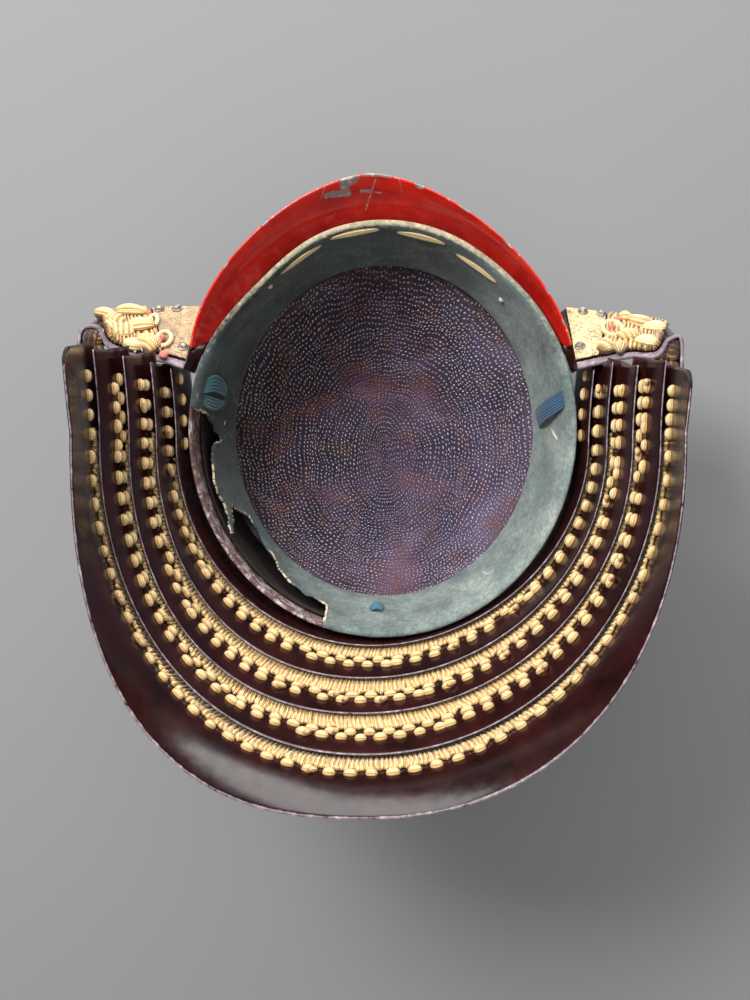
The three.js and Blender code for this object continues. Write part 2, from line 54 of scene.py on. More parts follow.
# ---------------------------------------------------------------- places and sizes, in millimetres
# Shapes are worked out in millimetres round the bowl's axis: +Y is the front, +Z is up.
MM = 0.001
band_low, band_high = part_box("base_band")
AXIS = Vector(((band_low.x + band_high.x) / 2, (band_low.y + band_high.y) / 2, 0))
RIM_Z = 138.0
GAP = 0.3
RIM_WIDTH, RIM_LENGTH = 106.5, 114.5
BAND_HEIGHT, BAND_WALL, BAND_NARROWING = 25.0, 1.8, 1.8
CROWN_BACK = 11.0

BOWL = {"wall": 1.6, "edge_drop": 16, "half_width": 102.3, "half_length": 110.4,
        "crown_spread": 0.27, "ribs": 24, "rib_height": 2.2, "rib_share": 0.87, "foot": 5.3}
LEATHER = {"drop": 48, "outer_width": 102.7, "outer_length": 110.7,
           "inner_width": 87.7, "inner_length": 97.3, "forward": 1.5}
CAP = {"edge_drop": 43, "apex_drop": 105, "half_width": 91.7, "half_length": 101.2, "fullness": 2.2}
PEAK_ROOT = 0.4          # the row where the peak leaves its flange on the band
PEAK = {"wall": 1.8, "flange_drop": 17, "root_drop": 8, "tip_height": 4, "crest_height": 22,
        "half_width": 104.3, "lean": -0.9, "crest_lean": -4.4, "tip_y": 42.5, "reach": 92.2,
        "roundness": 1.64, "fullness": 0.64, "end_sweep": 86, "hug": 0.4, "slope_share": 0.7}

GUARD_Y = -8.0          # the neck guard's lames are measured from here on the axis
LAME_WALL = 2.4
OVERLAP = 3.0
TUCK = 9.0              # how far a lame goes on behind the one above it
CORNER_START, CORNER_CUT = 0.5, 11.0
STRAIGHT = 0.09         # share of a lame's run, at each end, that lies ahead of GUARD_Y
SPREADING_RUN = 40      # how far ahead of GUARD_Y the front ends reach their full widening
LAMES = [
    {"half_width": 110.8, "back": 109.4, "square": 1.98, "lean": -5.5, "side": 10, "rear": 8,
     "clearance": 0.4, "flare": 1, "left": 0, "right": 0, "end_lean": 0, "widening": 3, "opening": 1.5},
    {"half_width": 117.2, "back": 124.1, "square": 2.07, "lean": -9, "side": 32, "rear": 29,
     "clearance": 4.9, "flare": 1, "left": 33.3, "right": 32.5, "end_lean": 1, "widening": 3, "opening": 1.5},
    {"half_width": 126.8, "back": 139.2, "square": 2.11, "lean": -11, "side": 54, "rear": 50,
     "clearance": 4.8, "flare": 1, "left": 34.1, "right": 28.5, "end_lean": 3, "widening": 3, "opening": 1.5},
    {"half_width": 136.5, "back": 156, "square": 2.09, "lean": -8, "side": 76, "rear": 71,
     "clearance": 4.5, "flare": 1, "left": 34.8, "right": 28.5, "end_lean": 3, "widening": 3, "opening": 1.5},
    {"half_width": 139.8, "back": 179.2, "square": 2.39, "lean": -10.2, "side": 116, "rear": 104,
     "clearance": 5.2, "flare": 2.2, "left": 32.4, "right": 20.3, "end_lean": 5, "widening": 4.2,
     "opening": 0.85},
]
BAND_EDGE = {"half_width": 104.916, "back": 104.916, "square": 2, "lean": 0, "side": -22, "rear": -22,
             "widening": 3, "opening": 1.5}

# Wing stations from the temple outwards: top edge x, y, lower edge x, y.
WING_STATIONS = {
    -1: [(103, 70.5, 106.8, 32.5), (120, 70.3, 118, 36), (138, 69, 134, 39.6), (150, 68, 145.5, 43.5),
         (161, 65, 152.5, 54.5), (167, 56, 161, 53.5), (166.5, 33, 163.5, 31)],
    1: [(102.5, 69, 105, 31.5), (117, 67, 117, 34.5), (131, 64.2, 133, 37.6), (147, 62, 146.5, 38),
        (160, 57.5, 152, 46.5), (166.5, 47, 158.6, 48.5), (165.5, 27, 160, 26)],
}
WING_WALL = 2.2
WING_TOP_DROP = 22          # the wing's top edge lies this far past the rim's plane
WING_RISE = (12, 20)        # its lower edge stands this far over the rim, at the root and at the end
SIDES = {-1: "left", 1: "right"}

# The leather's torn edge: bearing from the front in degrees, and share of the band's width.
TEAR = [
    (-84.6, 0.05), (-85.7, 0.23), (-88.9, 0.4), (-93.3, 0.59), (-94.2, 0.42), (-101.2, 0.3),
    (-106.2, 0.24), (-114.3, 0.33), (-118.5, 0.26), (-125, 0.07), (-119.8, 0.38), (-114.6, 0.49),
    (-120.1, 0.77), (-125.9, 0.82), (-130.6, 0.71), (-136.5, 0.7), (-142.4, 0.53),
    (-152.5, 0.41), (-160.5, 0.41), (-161.8, 0.02), (-161.8, -0.5), (-84.6, -0.5),
]


def lerp(start, end, share):
    return start + (end - start) * share


def clamp(value, low=0.0, high=1.0):
    return max(low, min(high, value))


def swell(x, y, z):
    """Smooth noise between about -1 and 1."""
    return noise.noise(Vector((x, y, z)))


def wrapped(bearing):
    """A bearing in degrees, between -180 and 180."""
    return (bearing + 180) % 360 - 180


def in_frame(point):
    """A point in millimetres round the bowl's axis, as metres in the shared frame."""
    return AXIS + Vector(point) * MM


def oval(half_width, half_length, bearing, z, forward=0.0):
    angle = math.radians(bearing)
    return Vector((half_width * math.sin(angle), forward + half_length * math.cos(angle), z))


def rim_dent(bearing):
    """How far the rim is pushed in beside the peak's crest."""
    return 5.5 * math.exp(-((bearing + 43) / 20) ** 2) + 2 * math.exp(-((bearing - 40) / 18) ** 2)


def base_band_point(bearing, drop, inset):
    pushed = rim_dent(wrapped(bearing)) * clamp(1 - drop / BAND_HEIGHT)
    narrower = BAND_NARROWING * drop / BAND_HEIGHT + inset + pushed
    return oval(RIM_WIDTH - narrower, RIM_LENGTH - narrower, bearing, RIM_Z - drop)


def leather_point(bearing, share, lift=0.0):
    slope = math.atan2(LEATHER["drop"], LEATHER["outer_width"] - LEATHER["inner_width"])
    inward = lift * math.sin(slope) + rim_dent(wrapped(bearing)) * clamp(1 - share / 0.7) ** 1.5
    return oval(lerp(LEATHER["outer_width"], LEATHER["inner_width"], share) - inward,
                lerp(LEATHER["outer_length"], LEATHER["inner_length"], share) - inward,
                bearing, RIM_Z - LEATHER["drop"] * share + lift * math.cos(slope),
                LEATHER["forward"] * share)


def cap_point(bearing, spread, lift=0.0):
    """The cap lining's inner face: spread is 0 at its crown and 1 at its edge."""
    depth = (1 - clamp(spread) ** 2) ** (1 / CAP["fullness"])
    z = RIM_Z - lerp(CAP["edge_drop"], CAP["apex_drop"], depth)
    forward = lerp(LEATHER["forward"], -CROWN_BACK, depth)
    return oval(CAP["half_width"] * spread - lift * spread, CAP["half_length"] * spread - lift * spread,
                bearing, z + lift * math.sqrt(max(0.0, 1 - spread * spread)), forward)


def bowl_point(bearing, climb, inset, rib_lift):
    rise = 1 - math.cos(climb * math.pi / 2)
    dome = math.sqrt(1 - (1 - rise) ** 2)
    spread = lerp(BOWL["crown_spread"], 1, dome)
    fade = max(0.0, math.sin(min(1.0, climb / BOWL["rib_share"]) * math.pi))
    lift = rib_lift * fade
    z = lerp(BOWL["foot"], RIM_Z - BOWL["edge_drop"], rise) + (inset - lift) * (1 - dome)
    side = inset * math.sqrt(dome)
    return oval(BOWL["half_width"] * spread - side + lift, BOWL["half_length"] * spread - side + lift,
                bearing, z, -CROWN_BACK * (1 - rise) ** 2)


def peak_edge(sweep):
    spread = math.sin(math.radians(sweep))
    forward = (1 - abs(spread) ** PEAK["roundness"]) ** PEAK["fullness"]
    x = PEAK["lean"] + PEAK["half_width"] * spread + PEAK["crest_lean"] * forward
    return Vector((x, PEAK["tip_y"] + PEAK["reach"] * forward,
                   RIM_Z + lerp(PEAK["tip_height"], PEAK["crest_height"], forward)))


def peak_point(along, row, depth):
    """The peak's upper face at depth 0: row 0 is its flange on the band, 0.4 the root, 1 the edge."""
    edge = peak_edge(lerp(-PEAK["end_sweep"], PEAK["end_sweep"], along))
    bearing = math.degrees(math.atan2(edge.x / RIM_WIDTH, edge.y / RIM_LENGTH))
    root = base_band_point(bearing, PEAK["root_drop"] + depth / 2, -PEAK["hug"] - depth)
    if row < PEAK_ROOT:
        foot = base_band_point(bearing, PEAK["flange_drop"], -PEAK["hug"] - depth)
        return foot.lerp(root, row / PEAK_ROOT)
    outward = Vector((edge.x, edge.y, 0)).normalized()
    edge = edge + outward * (depth - PEAK["wall"]) * PEAK["slope_share"]
    edge.z -= depth * PEAK["slope_share"]
    share = (row - PEAK_ROOT) / (1 - PEAK_ROOT)
    point = root.lerp(edge, share)
    point.z -= 1.2 * math.sin(math.pi * share)
    return point


def rearward(along):
    """0 where a lame's straight front stretch ends, 1 at its middle, at the rear."""
    turn = clamp((min(along, 1 - along) - STRAIGHT) / (0.5 - STRAIGHT))
    return math.sin(turn * math.pi / 2) ** 2


def edge_plan(lame, along, left, right):
    side = -1 if along < 0.5 else 1
    from_end = min(along, 1 - along)
    if from_end < STRAIGHT:
        end = left if side < 0 else right
        y = lerp(GUARD_Y, end, 1 - from_end / STRAIGHT)
        spread = lame["widening"] * (max(0.0, y - GUARD_Y) / SPREADING_RUN) ** lame["opening"]
        return Vector((side * (lame["half_width"] + spread), y))
    angle = math.radians(lerp(90, 0, (from_end - STRAIGHT) / (0.5 - STRAIGHT)))
    sine, cosine = math.sin(angle), math.cos(angle)
    power = lame["square"]
    radius = (sine ** power + max(0.0, cosine) ** power) ** (-1 / power)
    x = side * lame["half_width"] * radius * sine + lame["lean"] * (radius * cosine) ** 2
    return Vector((x, GUARD_Y - lame["back"] * radius * cosine))


@functools.cache
def edge_at(number, along, left, right):
    """A point in plan on a lame's lower edge, the way outwards there, and the edge's height."""
    lame = LAMES[number] if number >= 0 else BAND_EDGE
    before = edge_plan(lame, max(0.0, along - 0.002), left, right)
    after = edge_plan(lame, min(1.0, along + 0.002), left, right)
    run = (after - before).normalized()
    height = lerp(lame["side"], lame["rear"], rearward(along))
    return edge_plan(lame, along, left, right), Vector((run.y, -run.x)), height


def wing_root(side, down):
    """How far forward a wing starts, which is where the first lame stops."""
    _, top_y, _, low_y = WING_STATIONS[side][0]
    return lerp(top_y, low_y, down) - WING_WALL / 2


def lame_point(number, along, down, out):
    """A lame's inner face at out 0: along runs from its left front end to its right one."""
    lame = LAMES[number]
    forward = lame["end_lean"] * (1 - down)
    left, right = lame["left"] + forward, lame["right"] + forward
    if number == 0:
        left, right = wing_root(-1, down), wing_root(1, down)
    if number == 4:
        past = clamp((down - CORNER_START) / (1 - CORNER_START))
        cut = CORNER_CUT * (1 - math.sqrt(1 - past * past))
        left, right = left - cut, right - cut
    if STRAIGHT + 0.003 < along < 1 - STRAIGHT - 0.003:
        left = right = 0
    top, top_out, start = edge_at(number - 1, along, left, right)
    low, low_out, end = edge_at(number, along, left, right)
    share = down if lame["flare"] == 1 else max(0.0, down) ** lame["flare"]
    plan = (top + top_out * (lame["clearance"] + out)).lerp(low + low_out * out, share)
    return Vector((plan.x, plan.y, RIM_Z + lerp(start - (OVERLAP if number else 0), end, down)))


def tucked(number, along, row):
    """The share of a lame's face at a row of its wall, which starts behind the lame above."""
    if number == 0:
        return row
    height = (lame_point(number, along, 1, 0) - lame_point(number, along, 0, 0)).z
    return lerp(-TUCK / height, 1, row)


def smooth_run(points, share):
    """A centripetal Catmull-Rom curve through points, at a share of its run."""
    place = share * (len(points) - 1)
    index = min(int(place), len(points) - 2)
    here, after = points[index], points[index + 1]
    before = points[index - 1] if index else here * 2 - after
    beyond = points[index + 2] if index + 2 < len(points) else after * 2 - here
    first, middle, last = ((b - a).length ** 0.5 for a, b in ((before, here), (here, after), (after, beyond)))
    leave = ((here - before) / first - (after - before) / (first + middle) + (after - here) / middle) * middle
    arrive = ((after - here) / middle - (beyond - here) / (middle + last) + (beyond - after) / last) * middle
    t = place - index
    return (here * (2 * t**3 - 3 * t**2 + 1) + leave * (t**3 - 2 * t**2 + t)
            + after * (3 * t**2 - 2 * t**3) + arrive * (t**3 - t**2))


WING_EDGES = {
    side: (
        [Vector((side * x, y, RIM_Z - WING_TOP_DROP)) for x, y, _, _ in stations],
        [Vector((side * x, y, RIM_Z + lerp(*WING_RISE, i / 6))) for i, (_, _, x, y) in enumerate(stations)],
    )
    for side, stations in WING_STATIONS.items()
}


@functools.cache
def wing_at(side, along):
    """The wing's top and lower edges at a share of its run, and just before and after it."""
    shares = (clamp(along), clamp(along - 0.01), clamp(along + 0.01))
    return [(smooth_run(WING_EDGES[side][0], share), smooth_run(WING_EDGES[side][1], share))
            for share in shares]


def wing_point(side, along, down, depth=0.0):
    """A wing's front face; depth goes behind it, and a negative depth stands off it."""
    (top, low), before, after = wing_at(side, along)
    run = after[0].lerp(after[1], down) - before[0].lerp(before[1], down)
    normal = run.cross(low - top).normalized() * side
    return top.lerp(low, down) + normal * depth


# ---------------------------------------------------------------- materials
def linear(code):
    """An sRGB hex colour as linear RGBA."""
    parts = [int(code[i:i + 2], 16) / 255 for i in (1, 3, 5)]
    return [c / 12.92 if c <= 0.04045 else ((c + 0.055) / 1.055) ** 2.4 for c in parts] + [1.0]


def per_metre(size):
    """A pattern's scale on coordinates in metres, from the size of its marks in millimetres."""
    return 1 / (size * MM)


def feed(node, links):
    """Links each named socket of a node to a socket, or to another node's first output."""
    for key, source in links.items():
        output = source if isinstance(source, bpy.types.NodeSocket) else source.outputs[0]
        node.id_data.links.new(output, node.inputs[key])


def add_node(tree, kind, settings=(), links=()):
    """Adds a shader node. Settings name its properties, sockets or ramp stops; links feed sockets."""
    made = tree.nodes.new("ShaderNode" + kind)
    for key, value in dict(settings).items():
        if isinstance(value, str) and value.startswith("#"):
            value = linear(value)
        if key == "stops":
            ramp = made.color_ramp
            while len(ramp.elements) < len(value):
                ramp.elements.new(0.5)
            for element, (place, colour) in zip(ramp.elements, value):
                element.position = place
                element.color = linear(colour)
        elif isinstance(key, int) or key in made.inputs:
            made.inputs[key].default_value = value
        else:
            setattr(made, key, value)
    feed(made, dict(links))
    return made


def new_material(name, settings):
    """A material, add_node on its tree, its shader, and its Object and UV coordinates. Settings go on
    the shader's own sockets."""
    material = bpy.data.materials.new(name)
    material.use_nodes = True
    material.node_tree.nodes.clear()
    add = functools.partial(add_node, material.node_tree)
    shader = add("BsdfPrincipled", settings)
    add("OutputMaterial", {}, {"Surface": shader})
    coords = add("TexCoord")
    return material, add, shader, coords.outputs["Object"], coords.outputs["UV"]


def lacquer(name, dark, light, settings, edge, chip_size):
    """Urushi lacquer: deep, smooth and glossy, worn to its paler ground along edges."""
    material, add, shader, place, _ = new_material(name, settings)
    cloud = add("TexNoise", {"Scale": per_metre(22.22), "Detail": 6, "Roughness": 0.65}, {"Vector": place})
    tone = add("ValToRGB", {"stops": [(0.35, dark), (0.7, light)]}, {"Fac": cloud})
    grain = add("TexNoise", {"Scale": per_metre(chip_size), "Detail": 8, "Roughness": 0.7}, {"Vector": place})
    wear = add("Attribute", {"attribute_name": "wear"})
    ragged = add("Math", {"operation": "MULTIPLY_ADD", 1: 0.9, 2: -0.45}, {0: grain})
    worn = add("Math", {"operation": "ADD"}, {0: ragged, 1: wear.outputs["Fac"]})
    mask = add("MapRange", {"From Min": 0.55, "From Max": 0.68}, {"Value": worn})
    bare = add("ValToRGB", {"stops": edge}, {"Fac": grain})
    colour = add("MixRGB", {}, {"Fac": mask, "Color1": tone, "Color2": bare})
    feed(shader, {"Base Color": colour})
    smear = add("TexNoise", {"Scale": per_metre(6.25), "Detail": 7, "Roughness": 0.7}, {"Vector": place})
    rough = add("MapRange", {"From Min": 0.35, "From Max": 0.75, "To Min": 0.16, "To Max": 0.3},
                {"Value": smear})
    matte = add("Math", {"operation": "MULTIPLY_ADD", 1: 0.3}, {0: mask, 2: rough})
    feed(shader, {"Roughness": matte})
    ripple = add("TexNoise", {"Scale": per_metre(14.29), "Detail": 3}, {"Vector": place})
    height = add("Math", {"operation": "MULTIPLY_ADD", 1: -0.25}, {0: mask, 2: ripple})
    bump = add("Bump", {"Strength": 0.25, "Distance": 0.6 * MM}, {"Height": height})
    feed(shader, {"Normal": bump})
    return material


def silk(name, deep, middle, crest, thread_size):
    """Braided silk lace: fine threads run along it, with painted shade in the valleys, clefts and
    undersides and painted highlight on the crests and tops. The threads are drawn about 1 mm wide,
    coarser than real ones, so that they show."""
    material, add, shader, place, uv = new_material(name, {"Roughness": 0.62, "Sheen Weight": 0.25})
    # The attribute is painted shade and painted highlight here: low in valleys, clefts and undersides, high
    # on crests and tops.
    crown = add("Attribute", {"attribute_name": "wear"})
    mottle = add("TexNoise", {"Scale": per_metre(3.846), "Detail": 5, "Roughness": 0.7}, {"Vector": place})
    blend = add("Math", {"operation": "MULTIPLY_ADD", 1: 0.7, 2: -0.35}, {0: mottle})
    level = add("Math", {"operation": "ADD"}, {0: crown.outputs["Fac"], 1: blend})
    tone = add("ValToRGB", {"stops": [(0.08, deep), (0.42, middle), (0.85, crest)]}, {"Fac": level})
    threads = add("TexWave",
                  {"Scale": math.tau / 20 * per_metre(thread_size), "Distortion": 1.5, "Detail": 2,
                   "bands_direction": "X"},
                  {"Vector": uv})
    shade = add("MapRange", {"To Min": 0.6, "To Max": 1.0}, {"Value": threads.outputs["Fac"]})
    colour = add("MixRGB", {"blend_type": "MULTIPLY", "Fac": 1.0}, {"Color1": tone, "Color2": shade})
    feed(shader, {"Base Color": colour})
    fibre = add("TexNoise", {"Scale": per_metre(1.111), "Detail": 4}, {"Vector": place})
    height = add("Math", {"operation": "MULTIPLY_ADD", 1: 0.5}, {0: fibre, 2: threads.outputs["Fac"]})
    bump = add("Bump", {"Strength": 0.6, "Distance": 0.6 * MM}, {"Height": height})
    feed(shader, {"Normal": bump})
    return material


def suede():
    """Brain-tanned suede: matt grey-green nap, with painted shade on the left and towards the front and
    painted light on the right and towards the rear; its torn edges and lip are rubbed pale.
    """
    material, add, shader, place, _ = new_material("suede_leather", {"Roughness": 0.95, "Sheen Weight": 0.15})
    # Painted light and shade: darker towards the left and the front, lighter towards the right and the rear.
    axes = add("SeparateXYZ", {}, {"Vector": place})
    across = add("MapRange", {"From Min": -0.1, "From Max": 0.1, "To Min": -0.24, "To Max": 0.18},
                 {"Value": axes.outputs["X"]})
    back = add("MapRange", {"From Min": 0.14, "From Max": -0.09, "To Min": -0.12, "To Max": 0.11},
               {"Value": axes.outputs["Y"]})
    drift = add("Math", {"operation": "ADD"}, {0: across, 1: back})
    blotch = add("TexNoise", {"Scale": per_metre(26.32), "Detail": 8, "Roughness": 0.68}, {"Vector": place})
    level = add("Math", {"operation": "ADD"}, {0: blotch, 1: drift})
    stops = [(0.2, "#272c28"), (0.42, "#464f4c"), (0.6, "#6d7975"), (0.78, "#8d968f"), (0.95, "#b4b5a8")]
    tone = add("ValToRGB", {"stops": stops}, {"Fac": level})
    blue = add("TexNoise", {"Scale": per_metre(41.67), "Detail": 3}, {"Vector": place})
    tint = add("MapRange", {"From Min": 0.45, "From Max": 0.72, "To Max": 0.4}, {"Value": blue})
    scuff = add("TexNoise", {"Scale": per_metre(9.091), "Detail": 10, "Roughness": 0.8, "Distortion": 1.0},
                {"Vector": place})
    scuffed = add("MapRange", {"From Min": 0.56, "From Max": 0.72, "To Max": 0.6}, {"Value": scuff})
    flecked = add("MixRGB", {"Color2": "#b0b3a8"}, {"Fac": scuffed, "Color1": tone})
    teal = add("MixRGB", {"Color2": "#47636b"}, {"Fac": tint, "Color1": flecked})
    rubbed = add("Attribute", {"attribute_name": "wear"})
    fray = add("TexNoise", {"Scale": per_metre(2.381), "Detail": 4}, {"Vector": place})
    pale = add("Math", {"operation": "MULTIPLY_ADD", 1: 0.5, 2: -0.25}, {0: fray})
    edge = add("Math", {"operation": "ADD"}, {0: pale, 1: rubbed.outputs["Fac"]})
    mask = add("MapRange", {"From Min": 0.35, "From Max": 0.75}, {"Value": edge})
    colour = add("MixRGB", {"Color2": "#cfc3a0"}, {"Fac": mask, "Color1": teal})
    grit = add("TexNoise", {"Scale": per_metre(2.326), "Detail": 5, "Roughness": 0.7}, {"Vector": place})
    dust = add("MapRange", {"From Min": 0.35, "From Max": 0.65, "To Min": 0.6, "To Max": 1.15},
               {"Value": grit})
    gritty = add("MixRGB", {"blend_type": "MULTIPLY", "Fac": 1.0}, {"Color1": colour, "Color2": dust})
    feed(shader, {"Base Color": gritty})
    nap = add("TexNoise", {"Scale": per_metre(0.9091), "Detail": 5, "Roughness": 0.7}, {"Vector": place})
    bump = add("Bump", {"Strength": 0.55, "Distance": 0.5 * MM}, {"Height": nap})
    feed(shader, {"Normal": bump})
    return material


def indigo_cloth():
    """Indigo-dyed hemp, plain woven: navy where it is sound, mauve and brown where it has faded, with
    painted shade on the left and towards the front and painted light on the right and towards the rear.
    The weave is drawn coarser than a real one, so that it shows."""
    material, add, shader, place, _ = new_material("indigo_hemp", {"Roughness": 0.92, "Sheen Weight": 0.2})
    # Painted light and shade: darker towards the left and the front, lighter towards the right and the rear.
    axes = add("SeparateXYZ", {}, {"Vector": place})
    across = add("MapRange", {"From Min": -0.09, "From Max": 0.09, "To Min": -0.2, "To Max": 0.17},
                 {"Value": axes.outputs["X"]})
    back = add("MapRange", {"From Min": 0.12, "From Max": -0.06, "To Min": -0.08, "To Max": 0.16},
               {"Value": axes.outputs["Y"]})
    drift = add("Math", {"operation": "ADD"}, {0: across, 1: back})
    blotch = add("TexNoise", {"Scale": per_metre(33.33), "Detail": 6, "Roughness": 0.6}, {"Vector": place})
    level = add("Math", {"operation": "ADD"}, {0: blotch, 1: drift})
    stops = [(0.28, "#0b0816"), (0.45, "#1b152d"), (0.6, "#342a44"), (0.8, "#544862")]
    tone = add("ValToRGB", {"stops": stops}, {"Fac": level})
    rust = add("TexNoise", {"Scale": per_metre(13.33), "Detail": 6, "Roughness": 0.65}, {"Vector": place})
    tint = add("MapRange", {"From Min": 0.5, "From Max": 0.7, "To Max": 0.55}, {"Value": rust})
    colour = add("MixRGB", {"Color2": "#58362c"}, {"Fac": tint, "Color1": tone})
    feed(shader, {"Base Color": colour})
    weave = add("TexNoise", {"Scale": per_metre(1.429), "Detail": 3}, {"Vector": place})
    pucker = add("TexNoise", {"Scale": per_metre(4.762), "Detail": 2}, {"Vector": place})
    height = add("Math", {"operation": "MULTIPLY_ADD", 1: 0.25}, {0: weave, 2: pucker})
    bump = add("Bump", {"Strength": 0.8, "Distance": 2.2 * MM}, {"Height": height})
    feed(shader, {"Normal": bump})
    return material


def quilting_thread():
    """Thin cotton thread: pinkish white, stained orange in patches."""
    material, add, shader, place, _ = new_material("quilting_thread", {"Roughness": 0.8})
    stain = add("TexNoise", {"Scale": per_metre(38.46), "Detail": 5, "Roughness": 0.6}, {"Vector": place})
    stops = [(0.44, "#d3c2c8"), (0.54, "#d3a998"), (0.64, "#c66f45")]
    tone = add("ValToRGB", {"stops": stops}, {"Fac": stain})
    speck = add("TexNoise", {"Scale": per_metre(2.381), "Detail": 2}, {"Vector": place})
    shade = add("MapRange", {"From Min": 0.3, "From Max": 0.7, "To Min": 0.45, "To Max": 1.15},
                {"Value": speck})
    colour = add("MixRGB", {"blend_type": "MULTIPLY", "Fac": 1.0}, {"Color1": tone, "Color2": shade})
    feed(shader, {"Base Color": colour})
    return material


def flaking_iron(name, sound, rust, flake, amount):
    """Old iron under perished lacquer: dark brown scale with paler flakes and rust."""
    material, add, shader, place, _ = new_material(name, {"Roughness": 0.8, "Metallic": 0.1})
    scale = add("TexNoise", {"Scale": per_metre(16.67), "Detail": 9, "Roughness": 0.75, "Distortion": 0.6},
                {"Vector": place})
    tone = add("ValToRGB", {"stops": [(0.35, sound), (0.55, rust), (0.75, sound)]}, {"Fac": scale})
    crust = add("TexNoise", {"Scale": per_metre(7.692), "Detail": 10, "Roughness": 0.8, "Distortion": 1.2},
                {"Vector": place})
    mask = add("MapRange", {"From Min": amount, "From Max": amount + 0.08}, {"Value": crust})
    colour = add("MixRGB", {"Color2": flake}, {"Fac": mask, "Color1": tone})
    feed(shader, {"Base Color": colour})
    bump = add("Bump", {"Strength": 0.9, "Distance": 1.2 * MM}, {"Height": crust})
    feed(shader, {"Normal": bump})
    return material


def printed_leather():
    """Smoked deerskin printed with a small scroll pattern, rubbed nearly bare."""
    material, add, shader, place, _ = new_material("printed_deerskin", {"Roughness": 0.85})
    swirl = add("TexNoise", {"Scale": per_metre(11.11), "Detail": 2, "Distortion": 0.5}, {"Vector": place})
    bent = add("MixRGB", {"Fac": 0.035}, {"Color1": place, "Color2": swirl.outputs["Color"]})
    scroll = add("TexVoronoi", {"feature": "DISTANCE_TO_EDGE", "Scale": per_metre(4.348)}, {"Vector": bent})
    line = add("MapRange", {"From Min": 0.14, "From Max": 0.04}, {"Value": scroll})
    gone = add("TexNoise", {"Scale": per_metre(13.33), "Detail": 5, "Roughness": 0.7}, {"Vector": place})
    left = add("MapRange", {"From Min": 0.4, "From Max": 0.56, "To Max": 0.9}, {"Value": gone})
    print_mask = add("Math", {"operation": "MULTIPLY"}, {0: line, 1: left})
    ground = add("TexNoise", {"Scale": per_metre(20.83), "Detail": 6, "Roughness": 0.7}, {"Vector": place})
    axes = add("SeparateXYZ", {}, {"Vector": place})
    across = add("MapRange", {"From Min": -0.14, "From Max": 0.14, "To Min": -0.2, "To Max": 0.12},
                 {"Value": axes.outputs["X"]})
    level = add("Math", {"operation": "ADD"}, {0: ground, 1: across})
    stops = [(0.2, "#8a745c"), (0.42, "#b59b74"), (0.62, "#d3bb88"), (0.8, "#e2cf9e")]
    tone = add("ValToRGB", {"stops": stops}, {"Fac": level})
    colour = add("MixRGB", {"Color2": "#765c50"}, {"Fac": print_mask, "Color1": tone})
    feed(shader, {"Base Color": colour})
    pores = add("TexNoise", {"Scale": per_metre(1.25), "Detail": 4}, {"Vector": place})
    bump = add("Bump", {"Strength": 0.4, "Distance": 0.5 * MM}, {"Height": pores})
    feed(shader, {"Normal": bump})
    return material


def patinated_metal():
    """Cast shakudo studs: dark copper alloy with a dull grey bloom."""
    material, add, shader, place, _ = new_material("patinated_metal", {"Metallic": 0.8, "Roughness": 0.6})
    bloom = add("TexNoise", {"Scale": per_metre(2), "Detail": 5}, {"Vector": place})
    tone = add("ValToRGB", {"stops": [(0.4, "#6f6560"), (0.6, "#b3a99c")]}, {"Fac": bloom})
    feed(shader, {"Base Color": tone})
    return material


MAROON_LACQUER = lacquer(
    "maroon_lacquer", "#170807", "#301211", {"IOR": 1.45},
    [(0.3, "#93868f"), (0.52, "#71616b"), (0.72, "#b8a8a6")], 4.167)
RED_LACQUER = lacquer(
    "vermilion_lacquer", "#ad1510", "#d62a1c", {"IOR": 1.5, "Coat Weight": 0.2, "Coat Roughness": 0.2},
    [(0.3, "#b09c8e"), (0.5, "#85776f"), (0.7, "#e0cdb6")], 3.846)
RED_RIM = lacquer(
    "vermilion_rim", "#bd1008", "#ee2c12", {"IOR": 1.5, "Coat Weight": 0.3, "Coat Roughness": 0.15},
    [(0.3, "#b09c8e"), (0.5, "#75686a"), (0.7, "#e0cdb6")], 3.846)
BLACK_LACQUER = lacquer(
    "black_lacquer", "#0c0a0a", "#1d1615", {"IOR": 1.5, "Coat Weight": 0.2, "Coat Roughness": 0.25},
    [(0.3, "#5a4a3c"), (0.6, "#3a2c26"), (0.8, "#6b594b")], 6.25)
FLAKING_IRON = flaking_iron("flaking_iron", "#5c454c", "#6f4b43", "#c9bfbd", 0.5)
# The bowl's inside: dark iron made near black as painted shade, for the dark depth seen through the torn
# lining.
SOOTY_IRON = flaking_iron("sooty_iron", "#0b0808", "#2b1a18", "#5f5452", 0.62)
BARE_IRON = flaking_iron("bare_iron", "#1c1516", "#33211e", "#57483f", 0.66)
LACE_SILK = silk("gold_silk_lace", "#43240c", "#c8914a", "#fbdc9c", 0.9)
# A darker copy of the gold silk: painted shade for the laces inside the wings' curls.
BROWN_SILK = silk("brown_silk_lace", "#3d2210", "#a36f35", "#e3b878", 1.1)
CREAM_CORD = silk("cream_cord", "#5e3a18", "#c0995a", "#efd6a0", 1.2)
INDIGO_CORD = silk("indigo_cord", "#020a14", "#0d2c44", "#2f6285", 1.0)
TEAL_CORD = silk("teal_cord", "#031016", "#0d323e", "#37707b", 1.0)
RED_SILK = silk("red_silk", "#5a0d0a", "#b02a20", "#e07a66", 1.2)
PALE_THREAD = silk("pale_thread", "#8d6d5a", "#d2b39c", "#efdccb", 1.2)
SUEDE = suede()
INDIGO_CLOTH = indigo_cloth()
QUILTING_THREAD = quilting_thread()
PRINTED_LEATHER = printed_leather()
PATINATED_METAL = patinated_metal()


